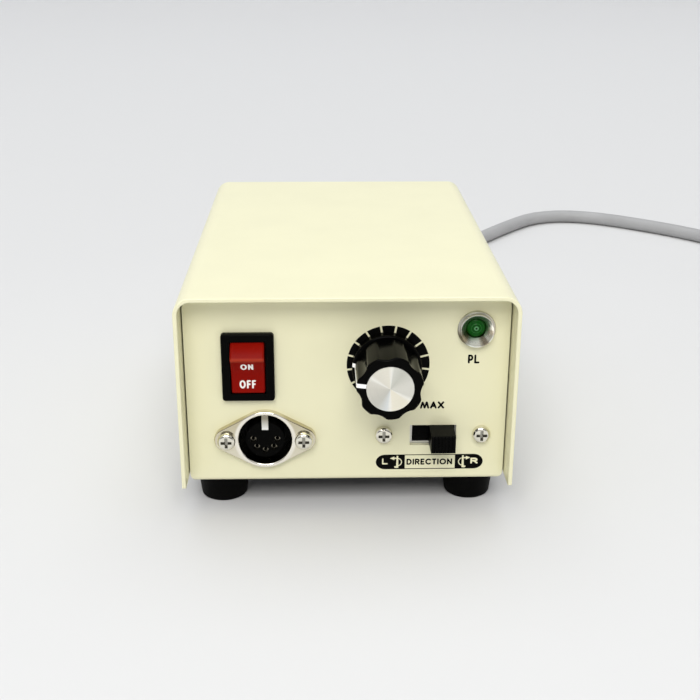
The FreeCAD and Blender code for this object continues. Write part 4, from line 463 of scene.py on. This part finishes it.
# The heads of the four screws on the panel: where their axes are, and the half width, reach and darkening
# of the painted shade in the crosses in them.
SCREW_AXES = [(-35.15, 24.1), (-12.65, 24.1), (10.75, 24.8), (39.45, 24.8)]
CROSS_HALF = 0.46
CROSS_REACH = 1.62
CROSS_PAINTED_SHADE = 0.38


def screw_material(name, metal):
    """Plated metal, with painted shade in each screw's cross."""
    material = metal_material(name, metal, NICKEL_GLOSS)
    tree, base = base_of(material)
    cross_shade = 0.0
    for across, level in SCREW_AXES:
        offset, reach = about_axis(tree, Vector((across, 0, level)), object_place(tree))
        size = parts_of(tree, vector_maths(tree, "ABSOLUTE", offset))
        near = maths(tree, "MINIMUM", size["X"], size["Z"])
        inside = maths(tree, "LESS_THAN", near, CROSS_HALF * MM)
        within = maths(tree, "LESS_THAN", reach, CROSS_REACH * MM)
        cross_shade = maths(tree, "MAXIMUM", maths(tree, "MULTIPLY", inside, within), cross_shade)
    # The painted shade in the crosses.
    dark = (*tinted(metal, CROSS_PAINTED_SHADE), 1)
    tree.links.new(mixed(tree, cross_shade, base.links[0].from_socket, dark), base)
    return material


# The line where the rocker's back meets its dish, along which a paler highlight is painted: its place, how
# far from it the highlight fades out, and up to where it is full.
ROCKER_RIM = (-66.82, 50.3)
RIM_HIGHLIGHT_REACH = 1.1
RIM_HIGHLIGHT_FULL = 0.3


def red_material(name):
    """Glossy red plastic, with a highlight painted along the line at the top of the dish."""
    material, tree, shader = new_material(name)
    shader.inputs["Specular IOR Level"].default_value = 0.04
    reach = about_axis(tree, Vector((0, *ROCKER_RIM)), object_place(tree), (0, 1, 1))[1]
    rim_highlight = between(tree, reach, RIM_HIGHLIGHT_REACH * MM, RIM_HIGHLIGHT_FULL * MM)
    plain = shades(tree, noise(tree, 60.0, 2.0), (0.20, 0.0030, 0.0010), (0.24, 0.0046, 0.0017))
    # The painted highlight along the rim line.
    tree.links.new(mixed(tree, rim_highlight, plain, (0.335, 0.032, 0.015, 1)), shader.inputs["Base Color"])
    fine = noise(tree, 900.0, 4.0, 0.6)
    tree.links.new(ranged(tree, fine, 0.30, 0.42), shader.inputs["Roughness"])
    add_bump(tree, shader, fine, 0.06, 0.00005)
    return material


# The lamp's lens: its radius, how fast its height ripples, and the colours at shares of the radius, which
# paint highlights on its moulded rings over a dark green.
LENS_RADIUS = 3.1
LENS_RIPPLE = 24.0
LENS_RING_HIGHLIGHTS = [
    (0.0, (0.001, 0.006, 0.001)),
    (0.08, (0.002, 0.012, 0.002)),
    (0.12, (0.09, 0.26, 0.11)),
    (0.18, (0.10, 0.30, 0.12)),
    (0.23, (0.003, 0.070, 0.006)),
    (0.38, (0.002, 0.056, 0.003)),
    (0.44, (0.020, 0.150, 0.024)),
    (0.50, (0.002, 0.060, 0.003)),
    (0.64, (0.003, 0.080, 0.006)),
    (0.70, (0.012, 0.115, 0.014)),
    (0.78, (0.002, 0.048, 0.002)),
    (1.0, (0.006, 0.045, 0.002)),
]


def lens_material(name):
    """Clear green plastic over the lamp's chip, moulded with rings, with highlights painted on the rings.
    """
    material, tree, shader = new_material(name)
    shader.inputs["Specular IOR Level"].default_value = 0.12
    reach = about_axis(tree, middle_of("lamp_led"), object_place(tree))[1]
    share = maths(tree, "DIVIDE", reach, LENS_RADIUS * MM)
    # Painted highlights on the rings.
    tree.links.new(colour_stops(tree, share, LENS_RING_HIGHLIGHTS), shader.inputs["Base Color"])
    tree.links.new(ranged(tree, noise(tree, 700.0, 2.0), 0.10, 0.22), shader.inputs["Roughness"])
    ripple = maths(tree, "SINE", maths(tree, "MULTIPLY", share, LENS_RIPPLE))
    add_bump(tree, shader, ripple, 0.35, 0.0001)
    return material


def glass_material(name):
    material, tree, shader = new_material(name)
    shader.inputs["Transmission Weight"].default_value = 1.0
    shader.inputs["Base Color"].default_value = (0.9, 0.95, 0.93, 1)
    tree.links.new(ranged(tree, noise(tree, 300.0), 0.02, 0.08), shader.inputs["Roughness"])
    return material


def board_material(name):
    """Green solder mask with paler tracks under it."""
    material, tree, shader = new_material(name)
    bricks = add_node(tree, "ShaderNodeTexBrick", Scale=120.0)
    bricks.inputs["Color1"].default_value = (0.02, 0.16, 0.06, 1)
    bricks.inputs["Color2"].default_value = (0.03, 0.20, 0.08, 1)
    bricks.inputs["Mortar"].default_value = (0.05, 0.28, 0.11, 1)
    tree.links.new(object_place(tree), bricks.inputs["Vector"])
    tree.links.new(bricks.outputs["Color"], shader.inputs["Base Color"])
    tree.links.new(ranged(tree, noise(tree, 900.0), 0.25, 0.45), shader.inputs["Roughness"])
    return material


def laminated_material(name):
    """Stacked steel sheets, one line for each."""
    material, tree, shader = new_material(name)
    shader.inputs["Metallic"].default_value = 0.6
    lines = add_node(tree, "ShaderNodeTexWave", bands_direction="Y",
                     Scale=600.0, Distortion=0.4, Detail=1.0)
    tree.links.new(object_place(tree), lines.inputs["Vector"])
    shade = shades(tree, lines.outputs["Fac"], (0.16, 0.15, 0.14), (0.34, 0.32, 0.30))
    tree.links.new(shade, shader.inputs["Base Color"])
    tree.links.new(ranged(tree, lines.outputs["Fac"], 0.4, 0.6), shader.inputs["Roughness"])
    add_bump(tree, shader, lines.outputs["Fac"], 0.3, 0.0001)
    return material


IVORY = (0.80, 0.776, 0.535)
PRIMER = (0.05, 0.05, 0.05)
BLACK = (0.0008, 0.0008, 0.0007), (0.0016, 0.0016, 0.0014)

# Plain surfaces: two shades, a range of roughness, the grain's scale, its bump's strength and depth in
# metres, and for some the gloss.
PLAIN_SURFACES = {
    "black_rubber": (*BLACK, (0.45, 0.65), 900.0, (0.2, 0.0001), 0.06),
    "knob_plastic": (*BLACK, (0.10, 0.18), 800.0, (0.05, 0.00005), 0.035),
    "white_line": ((0.92, 0.92, 0.90), (0.97, 0.97, 0.95), (0.35, 0.5), 900.0, (0.05, 0.00005)),
    "black_plastic": (*BLACK, (0.28, 0.42), 1500.0, (0.2, 0.00005), 0.035),
    "winding_tape": ((0.60, 0.44, 0.08), (0.68, 0.52, 0.12), (0.30, 0.45), 300.0, (0.2, 0.0002)),
    "white_plastic": ((0.72, 0.72, 0.69), (0.80, 0.80, 0.77), (0.4, 0.55), 700.0, (0.1, 0.00005)),
    "cord_jacket": ((0.35, 0.35, 0.352), (0.39, 0.39, 0.392), (0.38, 0.52), 700.0, (0.12, 0.00008), 0.4),
    "print_black": (*BLACK, (0.40, 0.55), 1200.0, (0.05, 0.00003), 0.05),
    "print_white": ((0.82, 0.80, 0.76), (0.90, 0.88, 0.85), (0.4, 0.55), 1200.0, (0.05, 0.00003), 0.3),
}


def make_materials():
    made = {name: plain_surface(name, *look) for name, look in PLAIN_SURFACES.items()}
    # Painted shade on the socket's plate and key: pale at the foot, dark at the head.
    plate = (0.84, 0.80, 0.66), (0.60, 0.54, 0.38)
    tongue = (1.0, 0.99, 0.96), (0.34, 0.31, 0.24)
    # Fans of painted reflections on the knob's disc and the lamp's bezel.
    disc = middle_of("speed_knob"), KNOB_DISC_PAINTED_REFLECTIONS, (1.0, 0.985, 0.93), (0.28, 0.42), 0.6
    bezel = middle_of("lamp_bezel"), BEZEL_PAINTED_REFLECTIONS, (1.0, 1.0, 0.98), (0.24, 0.34), 0.3
    for maker, name, *look in (
        (paint_material, "cover_paint", IVORY),
        (tray_paint, "panel_paint", IVORY, PRIMER),
        (metal_material, "zinc_steel", (0.62, 0.61, 0.57), (0.30, 0.45)),
        (metal_material, "nickel", (0.80, 0.77, 0.665), NICKEL_GLOSS),
        # The contacts' metal is made dark, as painted shade inside the socket's holes.
        (metal_material, "brass_contact", (0.24, 0.22, 0.17), (0.18, 0.30)),
        (metal_material, "sink_aluminium", (0.16, 0.16, 0.17), (0.40, 0.55)),
        (nickel_with_painted_shade, "socket_plate", "socket_shell", *plate, "socket_insert"),
        (nickel_with_painted_shade, "socket_tongue", "socket_key", *tongue),
        (screw_material, "screw_nickel", (0.84, 0.81, 0.70)),
        (spun_material, "spun_aluminium", *disc),
        (spun_material, "lamp_chrome", *bezel),
        (red_material, "red_plastic"),
        (lens_material, "green_lens"),
        (glass_material, "fuse_glass"),
        (board_material, "board_laminate"),
        (laminated_material, "core_steel"),
    ):
        made[name] = maker(name, *look)
    return made


# The nodes whose finish is finer than their slot's.
FINER = {
    "lamp_bezel": "lamp_chrome",
    "socket_screws": "screw_nickel",
    "slide_screws": "screw_nickel",
    "socket_shell": "socket_plate",
    "socket_key": "socket_tongue",
}


def dress_frame():
    """Gives each CAD node the material of its slot, or its own."""
    for part in frame["record"]["subparts"]:
        mesh = frame["nodes"][part["node"]].data
        mesh.materials.clear()
        mesh.materials.append(materials[FINER.get(part["node"], part["material_slot"])])
        for face in mesh.polygons:
            face.material_index = 0


# The mains lead


def coil_route():
    """Control points of the coil's turns, set out so that the curve keeps the turns' radius."""
    half_pitch = COIL_PITCH / 2
    lower = COIL_RADIUS - half_pitch
    radii = [lower - half_pitch * index for index in range(COIL_HALF_TURNS + 2)]
    radii += [COIL_RADIUS - half_pitch * index for index in range(COIL_HALF_TURNS, -1, -1)]
    start = Vector(CORD_ROUTE[-1]) - Vector((0, CORD_RADIUS * 2, 0))
    centre = start + Vector((lower, 0, 0))
    step = math.pi / COIL_STEPS
    points = []
    for index, (near, far) in enumerate(zip(radii, radii[1:])):
        side = 1 if index % 2 else -1
        radius = (near + far) / 2 / math.cos(step / 2)
        middle = centre.x + (near - far) / 2 * side
        climbs = index == COIL_HALF_TURNS
        base = COIL_LEVEL if index <= COIL_HALF_TURNS else COIL_LEVEL + COIL_PITCH
        for count in range(COIL_STEPS):
            angle = (count + 0.5) * step
            lift = COIL_PITCH * (1 - math.cos(angle)) / 2 if climbs else 0
            across = middle + radius * side * math.cos(angle)
            along = centre.y + radius * side * math.sin(angle)
            points.append((across, along, base + lift))
    return points


def make_cord():
    data = bpy.data.curves.new("mains_lead", "CURVE")
    data.dimensions = "3D"
    route = CORD_ROUTE + coil_route() + TAIL_ROUTE
    spline = data.splines.new("NURBS")
    spline.points.add(len(route) - 1)
    for point, place in zip(spline.points, route):
        point.co = (*(Vector(place) * MM), 1)
    spline.order_u = 3
    spline.use_endpoint_u = True
    spline.resolution_u = 8
    data.bevel_depth = CORD_RADIUS * MM
    data.bevel_resolution = 5
    data.use_fill_caps = True
    lead = new_piece("mains_lead", data, "case", materials["cord_jacket"])
    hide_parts("mains_cord", "cord_coil", "cord_tail")


# Printing on the panel


PANEL_RIGHT = Vector((1, 0, 0))
PANEL_UP = Vector((0, 0, 1))


def on_panel(across, level):
    """Places a print's flat points on the panel's face, about one point of it."""
    origin = Vector((across, PANEL_FACE, level))
    out = PANEL_RIGHT.cross(PANEL_UP)
    return lambda x, y, lift: origin + PANEL_RIGHT * x + PANEL_UP * y + out * lift


def print_shapes(name, outlines, place, body, material, layer=0):
    """A thin printed shape from closed outlines. Layer 0 stands just off the surface, and 1 on layer 0."""
    shape = bmesh.new()
    bottom = PRINT_LIFT + layer * PRINT_THICKNESS
    for number, outline in enumerate(outlines):
        top = bottom + PRINT_THICKNESS + PRINT_STEP * (number % PRINT_STEPS)
        low = [shape.verts.new(place(x, y, bottom) * MM) for x, y in outline]
        high = [shape.verts.new(place(x, y, top) * MM) for x, y in outline]
        shape.faces.new(list(reversed(low)))
        shape.faces.new(high)
        for index in range(len(outline)):
            following = (index + 1) % len(outline)
            shape.faces.new((low[index], low[following], high[following], high[index]))
    bmesh.ops.triangulate(shape, faces=[face for face in shape.faces if len(face.verts) > 4])
    bmesh.ops.recalc_face_normals(shape, faces=shape.faces)
    new_piece(name, mesh_from(name, shape), body, material)


def ring_piece(start, end):
    """One dark block of the dial between two gaps that are as wide inside as outside."""
    points = []
    for radius, turn in ((DIAL_OUTER, 1), (DIAL_INNER, -1)):
        trim = math.degrees(DIAL_GAP / 2 / radius)
        points += bow((0, 0), (radius, radius), start - trim, end + trim, DIAL_BLOCK_STEPS)[::turn]
    return points


def make_dial():
    blocks = [ring_piece(start, end) for start, end in zip(DIAL_GAP_ANGLES, DIAL_GAP_ANGLES[1:])]
    print_shapes("dial_print", blocks, on_panel(*DIAL_CENTRE), "case", materials["print_black"])


# Lettering


# Each letter: its width for a height of one, and its strokes.
LETTERS = {
    "A": (0.86, [[(0, 0), (0.43, 1), (0.86, 0)], [(0.15, 0.3), (0.71, 0.3)]]),
    "C": (0.95, [bow((0.55, 0.5), (0.55, 0.5), 48, 312, 12)]),
    "D": (0.82, [[(0, 0), (0, 1), (0.3, 1)] + bow((0.3, 0.5), (0.52, 0.5), 90, -90)
                 + [(0.3, 0), (0, 0)]]),
    "E": (0.55, [[(0.55, 1), (0, 1), (0, 0), (0.55, 0)], [(0, 0.5), (0.48, 0.5)]]),
    "F": (0.56, [[(0.56, 1), (0, 1), (0, 0)], [(0, 0.5), (0.5, 0.5)]]),
    "I": (0.0, [[(0, 0), (0, 1)]]),
    "L": (0.62, [[(0, 1), (0, 0), (0.62, 0)]]),
    "M": (1.30, [[(0, 0), (0.28, 1), (0.65, 0.02), (1.02, 1), (1.30, 0)]]),
    "N": (0.80, [[(0, 0), (0, 1), (0.8, 0), (0.8, 1)]]),
    "O": (1.12, [bow((0.56, 0.5), (0.56, 0.5), 0, 360, 16)]),
    "P": (0.62, [[(0, 0), (0, 1), (0.3, 1)] + bow((0.3, 0.69), (0.32, 0.31), 90, -90)
                 + [(0.3, 0.38), (0, 0.38)]]),
    "R": (0.70, [[(0, 0), (0, 1), (0.36, 1)] + bow((0.36, 0.74), (0.34, 0.26), 90, -90) + [(0, 0.48)],
                 [(0.34, 0.48), (0.72, 0)]]),
    "T": (0.62, [[(0, 1), (0.62, 1)], [(0.31, 1), (0.31, 0)]]),
    "X": (0.82, [[(0, 0), (0.82, 1)], [(0, 1), (0.82, 0)]]),
}


CAPSULE_END_STEPS = 5


def capsule(start, end, width):
    """A stroke's outline with rounded ends."""
    turn = math.degrees(math.atan2(end[1] - start[1], end[0] - start[0]))
    reach = (width / 2, width / 2)
    points = bow(end, reach, turn - 90, turn + 90, CAPSULE_END_STEPS)
    return points + bow(start, reach, turn + 90, turn + 270, CAPSULE_END_STEPS)


def stroke_outlines(lines, width, longest=0.9):
    """Capsules along lines of points, kept short, so that they follow a curved face."""
    outlines = []
    for line in lines:
        for start, end in zip(line, line[1:]):
            count = max(1, round(math.dist(start, end) / longest))
            steps = range(count + 1)
            stops = [[a + (b - a) * step / count for a, b in zip(start, end)] for step in steps]
            outlines += [capsule(near, far, width) for near, far in zip(stops, stops[1:])]
    return outlines


def word_outlines(words, width, height, stroke, gap=0.30):
    """The words as stroke outlines of an exact width and height, centred."""
    inner = height - stroke
    letters_width = sum(LETTERS[letter][0] for letter in words) * inner
    spaces = (len(words) - 1) * gap * inner
    stretch = (width - len(words) * stroke - spaces) / letters_width
    left = -width / 2 + stroke / 2
    lines = []
    for letter in words:
        reach, strokes = LETTERS[letter]
        for line in strokes:
            lines.append([(left + x * inner * stretch, (y - 0.5) * inner) for x, y in line])
        left += reach * inner * stretch + stroke + gap * inner
    return stroke_outlines(lines, stroke)


# The panel's words: their name, letters, width and height, stroke and place.
PANEL_WORDS = [
    ("print_max", "MAX", 7.05, 2.25, 0.56, (24.75, 34.0)),
    ("print_pilot", "PL", 3.35, 2.7, 0.56, (36.3, 48.3)),
]
PANEL_WORD_GAP = 0.14


def make_panel_words():
    for name, words, width, height, stroke, place in PANEL_WORDS:
        outlines = word_outlines(words, width, height, stroke, PANEL_WORD_GAP)
        print_shapes(name, outlines, on_panel(*place), "case", materials["print_black"])


# The direction label


LABEL_CENTRE = (24.46, 15.65)
LABEL_WIDTH = 31.8
LABEL_HEIGHT = 4.8
LABEL_END = 2.75
LABEL_END_STEPS = 16
LABEL_LEFT_BREAK = 17.15
LABEL_RIGHT_BREAK = 32.05
LABEL_LINE = 0.22
LETTER_HEIGHT = 1.95
DIRECTION_WIDTH = 13.6
DIRECTION_STROKE = 0.44
DIRECTION_GAP = 0.16

# The label's pale letters: their name, letter, width, stroke and place across.
LABEL_LETTERS = [("print_left", "L", 1.7, 0.42, 11.25), ("print_right", "R", 2.15, 0.52, 37.75)]
LABEL_LETTER_LEVEL = 15.85

# Its pale signs: their name, place across, and 1, or -1 for the mirrored one.
TURN_SIGNS = [("turn_sign_left", 14.9, 1), ("turn_sign_right", 34.45, -1)]


def rounded_end(centre_x, break_x, reach, radius):
    """Half of the label's pill, from its round end to a straight break."""
    side = 1 if break_x > centre_x else -1
    points = [(break_x, -radius), (break_x, radius)]
    points += bow((centre_x, 0), (reach * side, radius), 90, 270, LABEL_END_STEPS)
    return points if side > 0 else list(reversed(points))


def make_direction_label():
    place = on_panel(*LABEL_CENTRE)
    radius = LABEL_HEIGHT / 2
    left_end = -LABEL_WIDTH / 2 + LABEL_END
    right_end = LABEL_WIDTH / 2 - LABEL_END
    left_break = LABEL_LEFT_BREAK - LABEL_CENTRE[0]
    right_break = LABEL_RIGHT_BREAK - LABEL_CENTRE[0]
    outlines = [rounded_end(left_end, left_break, LABEL_END, radius),
                rounded_end(right_end, right_break, LABEL_END, radius)]
    for side in (-1, 1):
        outer = radius * side
        inner = (radius - LABEL_LINE) * side
        low, high = min(outer, inner), max(outer, inner)
        outlines.append([(left_break, low), (right_break, low), (right_break, high), (left_break, high)])
    print_shapes("direction_label", outlines, place, "case", materials["print_black"])
    words = word_outlines("DIRECTION", DIRECTION_WIDTH, LETTER_HEIGHT, DIRECTION_STROKE, DIRECTION_GAP)
    print_shapes("print_direction", words, place, "case", materials["print_black"])
    for name, letter, width, stroke, across in LABEL_LETTERS:
        outlines = word_outlines(letter, width, LETTER_HEIGHT, stroke)
        spot = on_panel(across, LABEL_LETTER_LEVEL)
        print_shapes(name, outlines, spot, "case", materials["cover_paint"], 1)
    for name, across, side in TURN_SIGNS:
        make_turn_sign(name, across, side)


def make_turn_sign(name, across, side):
    """A bur's shank with an arrow that goes round it."""
    shank = [(-0.33, -1.9), (0.38, -1.9), (0.28, 2.0), (-0.18, 2.0)]
    foot = [(-0.85, -1.45), (-0.2, -1.35), (0.38, -1.9), (-0.3, -2.05), (-0.85, -1.85)]
    head = [(-2.2, 1.2), (-0.85, 0.62), (-0.85, 1.78)]
    outlines = [shank, foot, head]
    outlines += stroke_outlines([[(-0.9, 1.2), (0.2, 1.2)]], 0.4)
    outlines += stroke_outlines([bow((0.15, -0.05), (1.15, 1.2), 80, -80)], 0.27)
    outlines = [[(x * side, y) for x, y in outline] for outline in outlines]
    print_shapes(name, outlines, on_panel(across, LABEL_CENTRE[1]), "case", materials["cover_paint"], 1)


# The rocker's words lie on its dished face. The pivot and the dish are those of the solid, at rest.
ROCKER_PIVOT = Vector((0, PANEL_FACE + 2.0, 46.7))
ROCKER_TILT = 18.5
DISH_RADIUS = 12.6
DISH_CENTRE = 17.3

# The rocker's words: their name, letters and width, and how far up the dish their middle is.
ROCKER_WORDS = [("print_on", "ON", 3.65, 2.9), ("print_off", "OFF", 4.7, -3.45)]
ROCKER_WORD_ACROSS = -28.45
ROCKER_WORD_HEIGHT = 2.5
ROCKER_WORD_STROKE = 0.50
ROCKER_WORD_GAP = 0.16


def on_rocker(across, climb):
    """Places a print's flat points on the rocker's dish, about one point of it."""
    tilt = math.radians(ROCKER_TILT)
    up = Vector((0, -math.sin(tilt), math.cos(tilt)))
    out = Vector((0, -math.cos(tilt), -math.sin(tilt)))

    def place(x, y, lift):
        rise = climb + y
        depth = math.sqrt(DISH_RADIUS ** 2 - rise ** 2)
        scale = 1 - lift / DISH_RADIUS
        side = Vector((across + x, 0, 0))
        return ROCKER_PIVOT + side + up * rise * scale + out * (DISH_CENTRE - depth * scale)

    return place


def make_rocker_words():
    for name, words, width, climb in ROCKER_WORDS:
        outlines = word_outlines(words, width, ROCKER_WORD_HEIGHT, ROCKER_WORD_STROKE, ROCKER_WORD_GAP)
        spot = on_rocker(ROCKER_WORD_ACROSS, climb)
        print_shapes(name, outlines, spot, "rocker", materials["print_white"])


# Floor and light


# The floor, in metres: its half width and reach in front, where it starts to curve up, the curve's radius
# and the top. Its shade goes from near to far between two distances from the unit.
FLOOR_HALF = 14.0
SWEEP_START = 2.2
SWEEP_RADIUS = 1.5
SWEEP_STEPS = 16
SWEEP_TOP = 4.0
NEAR_FLOOR = (0.665, 0.665, 0.664)
FAR_FLOOR = (0.875, 0.875, 0.873)
FLOOR_SHADE_REACH = (0.25, 2.2)


def make_floor():
    """A pale sweep: level under the unit, then curving up far behind it."""
    profile = [(-FLOOR_HALF, 0.0)]
    profile += bow((SWEEP_START, SWEEP_RADIUS), (SWEEP_RADIUS, SWEEP_RADIUS), -90, 0, SWEEP_STEPS)
    profile.append((SWEEP_START + SWEEP_RADIUS, SWEEP_TOP))
    shape = bmesh.new()
    rows = [[shape.verts.new((side * FLOOR_HALF, y, z)) for side in (-1, 1)] for y, z in profile]
    for (a, b), (c, d) in zip(rows, rows[1:]):
        shape.faces.new((a, b, d, c))
    mesh = mesh_from("floor_sweep", shape)
    for face in mesh.polygons:
        face.use_smooth = True
    floor = linked_object("floor_sweep", mesh)
    material, tree, shader = new_material("floor_paper")
    shader.inputs["Roughness"].default_value = 0.9
    shader.inputs["Specular IOR Level"].default_value = 0.1
    distance = vector_maths(tree, "LENGTH", object_place(tree))
    away = between(tree, distance, *FLOOR_SHADE_REACH, "LINEAR")
    tree.links.new(shades(tree, away, NEAR_FLOOR, FAR_FLOOR, 0.0, 1.0), shader.inputs["Base Color"])
    add_bump(tree, shader, noise(tree, 400.0), 0.05, 0.0002)
    mesh.materials.append(material)


def add_light(name, place, target, size, power, colour):
    data = bpy.data.lights.new(name, "AREA")
    data.shape = "RECTANGLE"
    data.size, data.size_y = size
    data.energy = power
    data.color = colour
    light = linked_object(name, data)
    light.location = place
    aim = Vector(target) - Vector(place)
    light.rotation_euler = aim.to_track_quat("-Z", "Y").to_euler()


# The room's light: its colour, that of its dim part, and its strength from the right to the left.
ROOM_COLOUR = (0.95, 0.957, 0.985, 1)
DIM_COLOUR = (0.22, 0.22, 0.225, 1)
ROOM_STRENGTH = (0.70, 0.92)

# The lamps, in metres and watts: name, place, target, size, power and colour.
LAMPS = [
    ("overhead_softbox", (0.05, 0.45, 2.2), (0, 0.1, 0), (2.2, 2.2), 15.5, (0.965, 1.0, 1.0)),
    ("front_softbox", (-0.1, -1.25, 1.20), (0, 0, 0.04), (1.1, 0.8), 17.8, (1.0, 0.985, 0.955)),
]


def light_scene():
    world = bpy.data.worlds.new("studio")
    bpy.context.scene.world = world
    world.use_nodes = True
    tree = world.node_tree
    backdrop = tree.nodes["Background"]
    parts = parts_of(tree, add_node(tree, "ShaderNodeTexCoord").outputs["Generated"])

    # A dim part of the room in front, above the table's edge and under the lamps, as chrome shows it. Its
    # limits are shares of a direction of length one.
    in_front = between(tree, parts["Y"], -0.25, -0.65)
    under_lamps = between(tree, parts["Z"], 0.62, 0.42)
    above_table = between(tree, parts["Z"], 0.03, 0.16)
    dim = maths(tree, "MULTIPLY", maths(tree, "MULTIPLY", in_front, under_lamps), above_table)
    tree.links.new(mixed(tree, dim, ROOM_COLOUR, DIM_COLOUR), backdrop.inputs["Color"])
    leftward = between(tree, parts["X"], 0.9, -0.9)
    tree.links.new(ranged(tree, leftward, *ROOM_STRENGTH), backdrop.inputs["Strength"])
    for lamp in LAMPS:
        add_light(*lamp)


bpy.context.scene.view_settings.view_transform = "Standard"
add_camera()
materials = make_materials()
make_cord()
dress_frame()
make_dial()
make_panel_words()
make_direction_label()
make_rocker_words()
make_floor()
light_scene()
